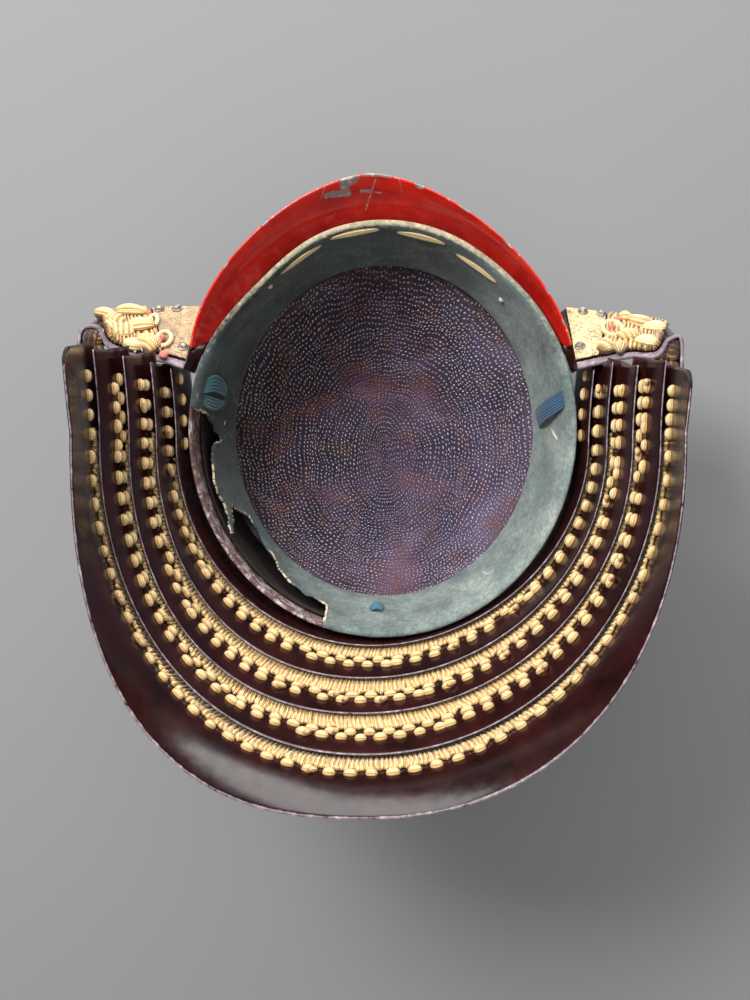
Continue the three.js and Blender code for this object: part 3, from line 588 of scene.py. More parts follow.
# ---------------------------------------------------------------- building pieces
def new_mesh():
    mesh = bmesh.new()
    mesh.loops.layers.uv.new("UVMap")
    # Per-vertex tone: real wear on lacquer and suede, painted shade and painted highlight on laces and cords.
    mesh.verts.layers.float.new("wear")
    return mesh


def absorb(mesh, part):
    """Moves a small mesh into a bigger one. Long rows are built in small meshes, which is quicker."""
    data = bpy.data.meshes.new("part")
    part.to_mesh(data)
    part.free()
    mesh.from_mesh(data)
    bpy.data.meshes.remove(data)


def size_uvs(mesh, made, width, height):
    """Scales new vertices' UV map to metres from their piece's true width and height in millimetres."""
    uv = mesh.loops.layers.uv["UVMap"]
    for face in {face for vert in made for face in vert.link_faces}:
        for loop in face.loops:
            loop[uv].uv = (loop[uv].uv.x * width * MM, loop[uv].uv.y * height * MM)


def bent_grid(mesh, columns, rows, place, size=(100, 10), wear=None, join=False):
    """Adds a flat grid and bends it. place(u, v) gives millimetres, size is its true width and height
    in millimetres, for patterns, and wear(u, v) fills the wear attribute, which is real wear on lacquer and
    suede and painted shade and painted highlight on laces and cords. join merges edges that meet."""
    made = bmesh.ops.create_grid(mesh, x_segments=columns, y_segments=rows, size=0.5, calc_uvs=True)["verts"]
    size_uvs(mesh, made, *size)
    attribute = mesh.verts.layers.float["wear"]
    for vert in made:
        u, v = vert.co.x + 0.5, vert.co.y + 0.5
        vert.co = in_frame(place(u, v))
        if wear:
            vert[attribute] = wear(u, v)
    if join:
        rim = [vert for vert in made if vert.is_boundary]
        bmesh.ops.remove_doubles(mesh, verts=rim, dist=2e-6)
    return [vert for vert in made if vert.is_valid]


def wall_section(rows, edge, arc=4):
    """(down, depth) pairs once round a wall: down its face, round its rounded edge and back up."""
    turns = [math.pi * i / arc for i in range(1, arc)]
    face = [(lerp(edge, 1 - edge, i / rows), 0.0) for i in range(rows + 1)]
    low = [(1 - edge + edge * math.sin(turn), (1 - math.cos(turn)) / 2) for turn in turns]
    back = [(down, 1.0) for down, _ in reversed(face)]
    top = [(edge - edge * math.sin(turn), (1 + math.cos(turn)) / 2) for turn in turns]
    return face + low + back + top + face[:1]


def flat_section(rows):
    """(down, depth) pairs once round a layer that needs no rows on its back."""
    return [(i / rows, 0.0) for i in range(rows + 1)] + [(1, 1), (0, 1), (0, 0)]


def wall(mesh, columns, section, surface, size, wear=None):
    """A closed wall: surface(u, down, depth) with depth from 0 on its face to 1 on its back."""
    rows = len(section) - 1

    def at(call):
        return lambda u, v: call(u, *section[round(v * rows)])

    made = bent_grid(mesh, columns, rows, at(surface), size, at(wear) if wear else None, join=True)
    # A dict keeps the edges in order, so that the ends are filled the same way each run.
    ends = dict.fromkeys(edge for vert in made for edge in vert.link_edges if edge.is_boundary)
    if ends:
        bmesh.ops.edgeloop_fill(mesh, edges=list(ends))


def tube(mesh, path, radius, off, blunt=6, sides=6, rows=10, thread=4):
    """A cord along path(v), closed at both ends; off(v) is the direction it stands off its ground.
    The lower blunt is, the longer its ends taper."""
    def place(u, v):
        here = path(v)
        run = (path(min(1.0, v + 0.02)) - path(max(0.0, v - 0.02))).normalized()
        up = off(v)
        side = up.cross(run).normalized()
        reach = radius * math.sqrt(max(0.0, 1 - abs(2 * v - 1) ** blunt))
        turn = math.tau * u
        return here + (side * math.cos(turn) + up * math.sin(turn)) * reach

    # Painted light: each cord is paler on the side that faces off its ground and darker beneath.
    bent_grid(mesh, sides, rows, place, (thread, 12), lambda u, v: 0.55 + 0.45 * math.sin(math.tau * u),
              join=True)


def seat_on(surface, u, v, step_u, lift=0.0, turn=0.0):
    """A place on surface(u, v, lift): X across it, Y off it and Z along it, in millimetres."""
    foot = surface(u, v, lift)
    off = (surface(u, v, lift + 1) - foot).normalized()
    along = surface(u + step_u, v, lift) - surface(u - step_u, v, lift)
    along = (along - off * along.dot(off)).normalized()
    along = Matrix.Rotation(turn, 3, off) @ along
    across = off.cross(along)
    basis = Matrix((across, off, along)).transposed().to_4x4()
    return Matrix.Translation(in_frame(foot)) @ basis @ Matrix.Scale(MM, 4)


def puff(mesh, seat, length, width, height, cleft=0.14, across=12, along=8):
    """A plump stitch of lace that lies along Z of its seat, cleft down its middle."""
    made = bmesh.ops.create_uvsphere(mesh, u_segments=across, v_segments=along, radius=1.0,
                                     calc_uvs=True)["verts"]
    size_uvs(mesh, made, 11, length)
    attribute = mesh.verts.layers.float["wear"]
    for vert in made:
        x, y, z = vert.co
        girth = 1 + 0.25 * z * z + 0.3 * swell(x * 2, z * 2, seat.translation.x * 900)
        crease = 1 - cleft * math.exp(-(x / 0.22) ** 2)
        # Painted highlight on the stitch's top and painted shade down its cleft.
        vert[attribute] = clamp(0.55 + 0.4 * y - 1.3 * (1 - crease))
        vert.co = seat @ Vector((x * girth * width / 2, y * crease * height, z * length / 2))


def tuft(mesh, seat, length, width, height, ribs=0.0, bands=0.0, twist=0.0, taper=1.0, bend=0.0,
         groove=0.65, shade=0.0):
    """A knot of lace on its seat, taper wide at its near end. Ribs run along it, bands across it."""
    made = bmesh.ops.create_uvsphere(mesh, u_segments=60, v_segments=34, radius=1.0, calc_uvs=True)["verts"]
    size_uvs(mesh, made, 24, length)
    attribute = mesh.verts.layers.float["wear"]
    for vert in made:
        x, y, z = vert.co
        across = x / max(0.25, math.sqrt(max(0.0, 1 - z * z)))
        ridge = 1.0
        if ribs:
            ridge = abs(math.cos(math.pi / 2 * (ribs * across + 1))) ** 0.6
        if bands:
            ridge = min(ridge, abs(math.sin(math.pi * (bands * (z + 1) / 2 + twist * x))) ** 0.6)
        spread = lerp(taper, 1.0, (z + 1) / 2)
        scallop = 1 - 0.1 * (1 - ridge) * clamp(z + 0.6)
        lift = y * (1 - groove * (1 - ridge) * clamp(y * 3))
        # Painted shade in the grooves and low down, painted highlight on the ribs' tops; shade darkens the
        # whole knot as painted shade.
        vert[attribute] = clamp(0.12 + 0.25 * y + 0.6 * ridge ** 2 * clamp(y * 3) - shade)
        vert.co = seat @ Vector(((x * spread + bend * (z * z - 0.3)) * scallop * width / 2,
                                 lift * height, z * scallop * length / 2))


def add_piece(name, mesh, finishes, stands_for=(), outward=True):
    """Makes a mesh a smooth-shaded piece of the helmet."""
    if outward:
        bmesh.ops.recalc_face_normals(mesh, faces=mesh.faces)
    for face in mesh.faces:
        face.smooth = True
    data = bpy.data.meshes.new(name)
    mesh.to_mesh(data)
    mesh.free()
    for finish in finishes:
        data.materials.append(finish)
    piece = bpy.data.objects.new(name, data)
    scene.collection.objects.link(piece)
    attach(piece, "root")
    if stands_for:
        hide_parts(*stands_for)
    return piece


# ---------------------------------------------------------------- camera
def aimed(spot, target, up):
    """A matrix at spot that looks at target."""
    back = (spot - target).normalized()
    right = up.cross(back).normalized()
    return Matrix.Translation(spot) @ Matrix((right, back.cross(right), back)).transposed().to_4x4()


camera_data = bpy.data.cameras.new("camera")
camera_data.sensor_fit = "VERTICAL"
camera_data.sensor_height = 36
camera_data.sensor_width = 36
camera_data.lens = 46.08
camera = bpy.data.objects.new("camera", camera_data)
scene.collection.objects.link(camera)
CAMERA_SPOT = (15.7, -39.1, RIM_Z + 699.7)
CAMERA_AIM = (-3.8, -39.1, RIM_Z)
camera.matrix_world = aimed(in_frame(CAMERA_SPOT), in_frame(CAMERA_AIM), Vector((0, 1, 0)))
scene.camera = camera


# ---------------------------------------------------------------- iron bowl, band and crown ring
def crown_ring():
    """The low stepped ring round the crown hole, which the helmet stands on."""
    low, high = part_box("crown_ring")
    centre = Vector(((low.x + high.x) / 2, (low.y + high.y) / 2, 0))
    outline = [(14, 0.4), (14.4, 0), (24.5, 0), (25, 0.5), (25, 2.6), (24.6, 3), (20.4, 3), (20, 3.4),
               (20, 4.6), (19.6, 5), (14.4, 5), (14, 4.6)]
    mesh = new_mesh()
    verts = [mesh.verts.new(centre + Vector((radius, 0, z)) * MM) for radius, z in outline]
    edges = [mesh.edges.new((verts[i], verts[i - 1])) for i in range(len(verts))]
    bmesh.ops.spin(mesh, geom=verts + edges, cent=centre, axis=(0, 0, 1), angle=math.tau, steps=72,
                   use_merge=True, use_duplicate=False)
    bmesh.ops.remove_doubles(mesh, verts=mesh.verts, dist=2e-6)
    add_piece("crown_ring_turned", mesh, [BARE_IRON], ["crown_ring"])


BOWL_INSIDE = 0.149     # metres up the bowl's UV map, where its inner face ends


def bowl():
    """The iron bowl, ribbed outside along its plate seams; inside it is bare iron, coloured near black as
    painted shade in its depth.
    """
    mesh = new_mesh()
    section = wall_section(26, 0.008)

    def surface(u, down, depth):
        wave = math.cos(math.tau * u * BOWL["ribs"])
        crest = wave ** 12 if depth > 0.5 and wave > 0 else 0
        return bowl_point(360 * u, clamp(down), BOWL["wall"] * (1 - depth), BOWL["rib_height"] * crest)

    wall(mesh, 384, section, surface, (600, 300))
    uv = mesh.loops.layers.uv["UVMap"]
    for face in mesh.faces:
        face.material_index = 1 if face.loops[0][uv].uv.y < BOWL_INSIDE else 0
    add_piece("ribbed_bowl", mesh, [BLACK_LACQUER, SOOTY_IRON], ["bowl"])


def base_band():
    """The plain iron band riveted round the bowl's mouth."""
    mesh = new_mesh()
    section = wall_section(8, 0.03)

    def surface(u, down, depth):
        inset = BAND_WALL * (1 - depth)
        waver = 0.35 * swell(math.cos(math.tau * u) * 9, math.sin(math.tau * u) * 9, down * 3)
        return base_band_point(360 * u, BAND_HEIGHT * down, max(0.0, inset + waver * (1 - depth)))

    wall(mesh, 360, section, surface, (690, 55))
    add_piece("riveted_base_band", mesh, [FLAKING_IRON], ["base_band"])


# ---------------------------------------------------------------- peak
# Where the peak's lacquer is gone, as strokes: place along and row at each end, half width in millimetres.
PEAK_WEAR = [
    (0.452, 0.945, 0.47, 0.985, 2.6), (0.455, 0.86, 0.457, 0.93, 1.0), (0.418, 0.878, 0.43, 0.862, 1.2),
    (0.43, 0.862, 0.456, 0.822, 1.5), (0.48, 0.818, 0.494, 0.806, 0.6), (0.508, 0.95, 0.5, 0.82, 0.05),
    (0.5, 0.82, 0.485, 0.58, 0.0), (0.498, 0.8, 0.516, 0.79, 0.1), (0.548, 0.99, 0.553, 0.84, 0.05),
    (0.578, 0.99, 0.586, 0.99, 1.0), (0.418, 0.98, 0.407, 0.88, 0.05), (0.49, 1.0, 0.53, 1.0, 0.9),
    (0.3, 1.0, 0.304, 1.0, 0.9), (0.2, 1.0, 0.203, 1.0, 0.9), (0.66, 1.0, 0.67, 1.0, 0.7),
    (0.75, 1.0, 0.757, 1.0, 0.8), (0.86, 1.0, 0.864, 1.0, 0.7), (0.93, 0.99, 0.935, 0.99, 1.0),
]
PEAK_FLAT = (320, 45)       # the peak's length and width in millimetres, laid flat
PEAK_ROWS = 44
PEAK_STEP = 0.82            # the row where the brighter rim stands up, half a millimetre high


def nearest_on(x, y, ax, ay, bx, by):
    """The distance from x, y to the line from a to b, and the line's nearest point."""
    share = clamp(((x - ax) * (bx - ax) + (y - ay) * (by - ay)) / ((bx - ax) ** 2 + (by - ay) ** 2))
    near_x, near_y = lerp(ax, bx, share), lerp(ay, by, share)
    return math.hypot(x - near_x, y - near_y), near_x, near_y


def peak():
    """The peak: red above, with a brighter rim that starts in a step, and black below."""
    mesh = new_mesh()
    section = wall_section(PEAK_ROWS, 0.012)

    def wear(u, down, depth):
        worn = 0.5 if down > 0.985 else 0.0
        if depth > 0.5 or down < 0.45:
            return worn * 0.4
        x, y = u * PEAK_FLAT[0], down * PEAK_FLAT[1]
        for stroke in PEAK_WEAR:
            if stroke[0] - 0.05 < u < stroke[2] + 0.05:
                line = (stroke[i] * PEAK_FLAT[i % 2] for i in range(4))
                distance, _, _ = nearest_on(x, y, *line)
                worn = max(worn, clamp(0.95 - 1.1 * (distance - stroke[4])))
        return worn

    def surface(u, down, depth):
        point = peak_point(u, down, depth * PEAK["wall"])
        if depth < 0.5:
            point.z += 0.5 * clamp((down - PEAK_STEP) / 0.02)
        return point

    wall(mesh, 420, section, surface, (340, 100), wear)
    uv = mesh.loops.layers.uv["UVMap"]
    for face in mesh.faces:
        row = face.loops[0][uv].uv.y * 10 * (len(section) - 1) / PEAK_ROWS
        # The red face comes first, then its brighter rim past the step, then the black underside.
        face.material_index = 2 if row > 1.1 else int(0.83 < row)
    add_piece("lacquered_peak", mesh, [RED_LACQUER, RED_RIM, BLACK_LACQUER], ["peak"])


# ---------------------------------------------------------------- lining
MM_PER_DEGREE = 1.85        # length along the band, laid flat, that one degree takes
LEATHER_WIDTH = 50
TORN_CORNERS = 20           # how many of TEAR's corners lie on the torn edge, the rest are past the rim


def laid_flat(bearing, share):
    return bearing * MM_PER_DEGREE, share * LEATHER_WIDTH


def nearest_tear(x, y):
    """The distance from a point of the flat band to the torn edge, and the edge's nearest point."""
    torn = [laid_flat(*corner) for corner in TEAR[:TORN_CORNERS]]
    found = [nearest_on(x, y, *start, *end) for start, end in zip(torn, torn[1:])]
    return min(found, key=lambda near: near[0])


def in_tear(x, y):
    """Whether a point of the band, laid flat in millimetres, is in the part that is torn away."""
    inside = False
    for i in range(len(TEAR)):
        (ax, ay), (bx, by) = laid_flat(*TEAR[i - 1]), laid_flat(*TEAR[i])
        if (ay > y) != (by > y) and x < (bx - ax) * (y - ay) / (by - ay) + ax:
            inside = not inside
    return inside


def leather_surface(bearing, share, lift=0.0):
    """The suede band as it lies now: over the rim at a negative share, then down and inwards."""
    if share < 0:
        over = clamp(-share / 0.06)
        rim = base_band_point(bearing, 0, 0.6)
        rim.z = RIM_Z + 1.6
        start = leather_point(bearing, 0.02, lift)
        return start.lerp(rim, over) + Vector((0, 0, 0.7 * math.sin(math.pi * over)))
    angle = math.radians(bearing)
    wave = swell(math.cos(angle) * 5, math.sin(angle) * 5, share * 2.5)
    fine = swell(math.cos(angle) * 16, math.sin(angle) * 16, share * 7)
    buckle = (0.8 * wave + 0.35 * fine) * math.sin(math.pi * clamp(share))
    return leather_point(bearing, max(share, 0.02), lift + buckle)


def lining_band():
    """The suede band that joins the cap to the rim, torn open on the wearer's right."""
    mesh = new_mesh()
    columns, rows = 720, 34
    made = bmesh.ops.create_grid(mesh, x_segments=columns, y_segments=rows, size=0.5, calc_uvs=True)["verts"]
    attribute = mesh.verts.layers.float["wear"]
    flat = {}
    for vert in made:
        bearing = 360 * vert.co.x
        share = lerp(-0.06, 1.0, vert.co.y + 0.5)
        flat[vert] = laid_flat(bearing, share)
    gone = {vert for vert, (x, y) in flat.items() if -310 < x < -140 and in_tear(x, y)}
    for vert in made:
        x, y = flat[vert]
        torn = 0.0
        if -320 < x < -130:
            distance, near_x, near_y = nearest_tear(x, y)
            beside = vert not in gone and any(edge.other_vert(vert) in gone for edge in vert.link_edges)
            if beside:
                ragged = 0.7 * swell(x * 0.9, y * 0.9, 3)
                x, y = near_x + ragged, near_y + ragged
                distance = 0
            torn = math.exp(-distance / 0.8)
        bearing, share = x / MM_PER_DEGREE, y / LEATHER_WIDTH
        curl = 1.3 * torn * (0.5 + swell(x * 0.15, y * 0.15, 9))
        vert.co = in_frame(leather_surface(bearing, share, curl))
        front = clamp(1.4 - abs(bearing) / 55) if share < 0.01 else 0
        lip = 0.7 if share < -0.02 else 0.0
        frayed = clamp(0.6 + 1.6 * swell(x * 0.07, y * 0.07, 1)) if x > -295 else 1
        vert[attribute] = max(torn * 0.9 * frayed, lip * (0.4 + 0.6 * front), 0.3 * (share > 0.985))
    bmesh.ops.delete(mesh, geom=list(gone), context="VERTS")
    bmesh.ops.remove_doubles(mesh, verts=[v for v in mesh.verts if v.is_boundary], dist=2e-6)
    piece = add_piece("suede_lining_band", mesh, [SUEDE], ["lining_band"], outward=False)
    thick = piece.modifiers.new("leather thickness", "SOLIDIFY")
    thick.thickness = 1.1 * MM
    thick.offset = -1


# Where the cloth of the cap is pleated at its edge: bearing, half width in degrees, depth.
PLEATS = [(-86, 3.2, 3.4), (-92, 2.0, 1.6), (-13, 2.2, 2.4), (-9.5, 1.6, 1.8), (-17, 1.8, 1.4),
          (74, 2.4, 2.4), (80, 1.8, 1.6), (-70, 2.5, 1.2), (38, 2.0, 1.0), (160, 2.4, 0.9), (-40, 2.0, 1.0)]


def cloth_surface(bearing, spread, lift=0.0):
    """The cap lining's inner face, quilted, puckered and pleated at the edge."""
    angle = math.radians(bearing)
    x, y = spread * math.sin(angle), spread * math.cos(angle)
    sag = 0.9 * swell(x * 4, y * 4, 5) + 0.45 * swell(x * 11, y * 11, 8)
    for middle, wide, deep in PLEATS:
        off = wrapped(bearing - middle)
        sag -= deep * math.exp(-(off / wide) ** 2) * clamp((spread - 0.66) / 0.26)
    crease = math.exp(-(x / 0.012) ** 2) * math.exp(-(y / 0.13) ** 2)
    return cap_point(bearing, spread, lift + sag - 1.6 * crease)


def cap_lining():
    """The indigo cloth cap: several layers held by rounds of running stitches."""
    mesh = new_mesh()
    made = bent_grid(mesh, 240, 44, lambda u, v: cloth_surface(360 * u, v), (600, 130), join=True)
    bmesh.ops.remove_doubles(mesh, verts=made, dist=2e-6)
    piece = add_piece("quilted_cap_lining", mesh, [INDIGO_CLOTH], ["lining_cap"],
                      outward=False)
    thick = piece.modifiers.new("layers of cloth", "SOLIDIFY")
    thick.thickness = 1.6 * MM
    thick.offset = -1


# The rounds' outer radius, the stitches' spacing, and half of a stitch's width, length and height.
QUILTING = {"rounds": 50, "radius": 96, "spacing": 2.15, "stitch": (0.33, 0.7, 0.4)}


def quilting():
    """Rounds of small running stitches, laid flat round the middle and then carried onto the cap."""
    whole = bpy.data.meshes.new("rounds of stitches")
    for ring in range(1, QUILTING["rounds"]):
        spread = (ring + 0.2 + random.uniform(-0.12, 0.12)) / QUILTING["rounds"]
        count = max(5, round(math.tau * spread * QUILTING["radius"] / QUILTING["spacing"]))
        seat = (Matrix.Rotation(random.uniform(0, math.tau), 4, "Z")
                @ Matrix.Translation((spread * QUILTING["radius"], 0, 0))
                @ Matrix.Rotation(0.25, 4, "Z") @ Matrix.Diagonal((*QUILTING["stitch"], 1)))
        mesh = bmesh.new()
        stitch = bmesh.ops.create_uvsphere(mesh, u_segments=4, v_segments=3, radius=1, matrix=seat)["verts"]
        geometry = stitch + list(mesh.edges) + list(mesh.faces)
        bmesh.ops.spin(mesh, geom=geometry, cent=(0, 0, 0), axis=(0, 0, 1), steps=count - 1,
                       angle=math.tau * (count - 1) / count, use_duplicate=True)
        if ring > 1:
            mesh.from_mesh(whole)
        mesh.to_mesh(whole)
        mesh.free()
    mesh = new_mesh()
    mesh.from_mesh(whole)
    for vert in mesh.verts:
        x, y, z = vert.co
        middle = math.exp(-(math.hypot(x, y) / 34) ** 2)
        x, y = x * (1 - 0.42 * middle), y * (1 + 0.22 * middle)
        jitter = noise.noise_vector(Vector((x * 0.33, y * 0.33, 2))) * 1.15
        drift = noise.noise_vector(Vector((x * 0.07, y * 0.07, 4))) * 3.4
        x, y = x + jitter.x + drift.x, y + jitter.y + drift.y
        spread = math.hypot(x, y) / QUILTING["radius"]
        sunk = 0.18 + 0.35 * swell(x * 0.4, y * 0.4, 6)
        vert.co = in_frame(cloth_surface(math.degrees(math.atan2(x, y)), min(spread, 0.995), z + sunk))
    add_piece("quilting_stitches", mesh, [QUILTING_THREAD], outward=False)


# ---------------------------------------------------------------- neck guard
def thinning(number, down):
    """A lame's wall at a share of its height: the first four thin out to their lower edges."""
    return LAME_WALL * (1 - (0.4 if number == 4 else 0.55) * clamp((down - 0.6) / 0.4))


SHORT_END, LONG_END = 2.5, 4.5      # how much further forward a lame's top corners reach


def lame(mesh, number):
    """A lame's wall; its top goes on behind the lame above, closing the gap near the front ends."""
    section = wall_section(18 if number == 4 else 12, 0.03)

    def surface(u, down, depth):
        row = tucked(number, u, down)
        near = clamp(-4 * row) * clamp(3 - 2 * min(u, 1 - u) / STRAIGHT) if number else 0
        inward = 0.85 * near * LAMES[number]["clearance"]
        point = lame_point(number, u, row, depth * thinning(number, down) - inward)
        if number and min(u, 1 - u) < 0.001:
            point.y += (LONG_END if u > 0.5 and number == 2 else SHORT_END) * clamp(0.5 - row)
        return point

    def wear(u, down, depth):
        return 0.68 if down > 0.975 and 0.1 < depth < 0.7 else 0.0

    wall(mesh, 300, section, surface, (420, 80), wear)


def wing_plate(mesh, side):
    """The first lame's front end, turned out as a wing, with a wall from its root to the band."""
    section = wall_section(28, 0.015)

    def wear(u, down, depth):
        return 0.7 if down > 0.9 and depth < 0.9 else 0.0

    def root(u, down, depth):
        start = wing_point(side, 0.004, down, depth * WING_WALL)
        bearing = math.degrees(math.atan2(start.x / RIM_WIDTH, start.y / RIM_LENGTH))
        drop = clamp(RIM_Z - start.z, 1, BAND_HEIGHT)
        return start.lerp(base_band_point(bearing, drop, -0.3 - depth), u)

    wall(mesh, 80, section, lambda u, down, depth: wing_point(side, u, down, depth * WING_WALL),
         (110, 90), wear)
    wall(mesh, 6, wall_section(8, 0.03), root, (12, 90))


# For each laced lame: rows of stitches as shares of its height, at the sides and at the rear, how many
# stitches there are in a row, and the stretches of its run where the second row is shifted sideways.
LACE_ROWS = {
    1: {"side": (-0.12, 0.12), "rear": (0.33, 0.52), "stitches": 42,
        "shifted": ((0.13, 0.24), (0.4, 0.53), (0.66, 0.7))},
    2: {"side": (0.02, 0.3), "rear": (0.4, 0.58), "stitches": 46,
        "shifted": ((0.2, 0.27), (0.44, 0.56), (0.84, 0.88))},
    3: {"side": (0.0, 0.26), "rear": (0.38, 0.55), "stitches": 50,
        "shifted": ((0.02, 0.1), (0.28, 0.36), (0.42, 0.57), (0.86, 0.93))},
    4: {"side": (0.04,), "rear": (0.4,), "stitches": 50, "shifted": ()},
}
STITCH_LENGTH, STITCH_WIDTH, STITCH_HEIGHT = 6.9, 5.0, 2.6
STRANDS_PER_STITCH = 4.4
# Single stitches on the first lame's face, beside the wings: place along it, share of its height.
TEMPLE_STITCHES = [(0.973, 0.62), (0.955, 0.6), (0.936, 0.58), (0.917, 0.6),
                   (0.03, 0.62), (0.05, 0.6), (0.069, 0.62), (0.09, 0.6)]
STITCHES_PER_MESH = 10              # long rows are built in meshes of this many stitches


def inner_face(number):
    return lambda u, v, lift: lame_point(number, u, v, -lift)


def row_down(number, row, along):
    """How far down its lame a row of stitches lies: higher at the rear than at the sides."""
    made = LACE_ROWS[number]
    return lerp(made["side"][row], made["rear"][row], rearward(along))


def lace_strands(mesh, number, stitches):
    """The laces side by side, from behind the lame above down to the first row of stitches."""
    strands = round(0.84 * stitches * STRANDS_PER_STITCH)
    section = flat_section(8)

    def ridge(u, v):
        wander = 0.6 * swell(u * strands * 0.45, v * 2.2, number)
        return abs(math.sin(math.pi * (u * strands + wander))) ** 0.5

    def place(u, v, depth):
        along = lerp(0.08, 0.92, u)
        slant = 0.006 * (1 - v) * clamp((0.5 - u) * 9, -1, 1)
        ragged = 0.09 * swell(u * strands * 0.8, 5, number)
        bottom = row_down(number, 0, along) - 0.07 + ragged
        out = GAP + (0.5 + 1.5 * ridge(u, v) + 0.9 * (1 - v) ** 3) * (1 - depth)
        top = 0.8 * tucked(number, along, 0)
        return lame_point(number, clamp(along + slant, 0.005, 0.995), lerp(top, bottom, v), -out)

    def wear(u, v, depth):
        # Painted shade in the gaps between the strands and painted highlight on their crests; the thread
        # noise is the silk's own variation.
        thread = 0.22 * swell(u * strands * 2, v * 3, 7)
        return clamp(0.3 + 0.52 * ridge(u, v) ** 2 + thread)

    wall(mesh, strands * 5, section, place, (380, 24), wear)


def lace_stitches(mesh, number, rows, stitches, shifted):
    """The rows of short stitches where each lace goes out through the lame and comes back."""
    surface = inner_face(number)
    whole = mesh
    for row in range(rows):
        for i in range(stitches):
            if i % STITCHES_PER_MESH == 0:
                mesh = new_mesh()
            along = lerp(0.02, 0.98, (i + 0.5) / stitches)
            if row and any(start < along < end for start, end in shifted):
                along += 0.48 / stitches
            down = row_down(number, row, along) + random.uniform(-0.012, 0.012)
            size = random.uniform(0.88, 1.08)
            turn = random.uniform(-0.14, 0.14)
            cleft = random.choice((0.15, 0.3, 0.45))
            seat = seat_on(surface, along, down, 0.002, 0.3, turn)
            puff(mesh, seat, STITCH_LENGTH * size, STITCH_WIDTH * random.uniform(0.9, 1.08),
                 STITCH_HEIGHT * random.uniform(0.9, 1.15), cleft)
            if random.random() < 0.06:
                knot = seat_on(surface, along + 0.004, down + 0.05, 0.002, 1.6, random.uniform(0.6, 1.4))
                puff(mesh, knot, 6.0, 3.6, 1.8, 0.3)
            if i % STITCHES_PER_MESH == STITCHES_PER_MESH - 1 or i == stitches - 1:
                absorb(whole, mesh)


def lacing(number):
    mesh = new_mesh()
    made = LACE_ROWS[number]
    lace_strands(mesh, number, made["stitches"])
    lace_stitches(mesh, number, len(made["rear"]), made["stitches"], made["shifted"])
    if number == 1:
        for along, down in TEMPLE_STITCHES:
            puff(mesh, seat_on(inner_face(0), along, down, 0.002, 0.2), STITCH_LENGTH, 4.2, 2.0, 0.12)
    add_piece(f"silk_lacing_{number + 1}", mesh, [LACE_SILK], [f"lacing_{number + 1}"],
              outward=False)


def neck_guard():
    """The five lames with their laces; the first one carries the wings."""
    for number in range(5):
        mesh = new_mesh()
        lame(mesh, number)
        if number == 0:
            for side in SIDES:
                wing_plate(mesh, side)
        add_piece(f"lacquered_lame_{number + 1}", mesh, [MAROON_LACQUER],
                  [f"neck_lame_{number + 1}"])
        if number in LACE_ROWS:
            lacing(number)


# ---------------------------------------------------------------- wings
# Where the printed leather ends: its share of the wing's run at the upper and the lower edge.
LEATHER_END = (0.265, 0.15)
WING_STUDS = {
    -1: [(0.126, 0.08), (0.22, 0.08), (0.04, 0.73)],
    1: [(0.105, 0.08), (0.225, 0.08), (0.045, 0.7)],
}
# A stud's outline from its dome to its collar, as radius and height.
STUD_OUTLINE = [(0, 2.6), (1.1, 2.4), (1.9, 1.8), (2.2, 1.1), (2.3, 0.6), (2.9, 0.5), (3.1, 0.2), (3.0, 0),
                (0, 0)]

# Knots of lace on the wings: place along and down, turn in degrees, length, width, height, then how a
# tuft is shaped, with its finish: 0 gold silk, 1 pale cord, 2 red silk.
WING_KNOTS = {
    -1: [
        (0.60, 0.30, -12, 14, 11, 4, {"ribs": 5, "taper": 0.5}, 1),
        (0.50, 0.40, -25, 12, 12, 4.5, {"bands": 4, "twist": 0.5, "taper": 0.8}, 0),
        (0.42, 0.62, 30, 13, 15, 4.5, {"bands": 4, "twist": -0.6, "taper": 0.9}, 1),
        (0.38, 0.17, -6, 19, 11, 5, {"ribs": 4, "taper": 0.7}, 0),
        (0.30, 0.50, 12, 16, 14, 5.5, {"ribs": 6, "taper": 0.5}, 0),
        (0.25, 0.83, 65, 13, 16, 5.5, {"bands": 5, "taper": 0.8, "bend": 0.35}, 0),
        (0.33, 0.88, 5, 13, 12, 3, {"ribs": 7, "taper": 0.8, "groove": 0.7}, 1),
        (0.27, 0.20, 0, 3.5, 4, 2.6, {}, 2),
        (0.165, 0.95, 0, 5, 6, 2.2, {}, 2),
        (0.185, 0.68, 0, 4, 4.5, 3, {}, 2),
        (0.54, 0.62, 60, 10, 9, 3.5, {"bands": 3, "twist": 0.4}, 0),
    ],
    1: [
        (0.21, 0.80, 20, 9, 11, 4.5, {"bands": 2, "twist": 0.5}, 1),
        (0.285, 0.88, 80, 10, 9, 4, {"ribs": 5, "taper": 0.45}, 1),
        (0.345, 0.60, 15, 13, 12, 4, {"bands": 4, "twist": 0.5, "taper": 0.7}, 0),
        (0.27, 0.43, 30, 4.5, 4, 3, {}, 2),
        (0.322, 0.21, 0, 4, 5, 2.4, {}, 2),
        (0.368, 0.14, 0, 7.5, 9, 4, {"ribs": 4}, 0),
        (0.44, 0.24, -12, 15, 14, 4.5, {"ribs": 5, "taper": 0.5, "bend": 0.3}, 1),
        (0.535, 0.38, -20, 14, 16, 4, {"ribs": 8, "taper": 0.45}, 1),
        (0.44, 0.76, -8, 13, 15, 4.5, {"ribs": 8, "taper": 0.4}, 1),
    ],
}
# Thin loops of pale cord between the knots: place along and down, half length and half width.
WING_LOOPS = {-1: [(0.245, 0.36, 2.4, 6.0), (0.175, 0.68, 3.8, 6.5)], 1: [(0.27, 0.43, 5.2, 7.6)]}
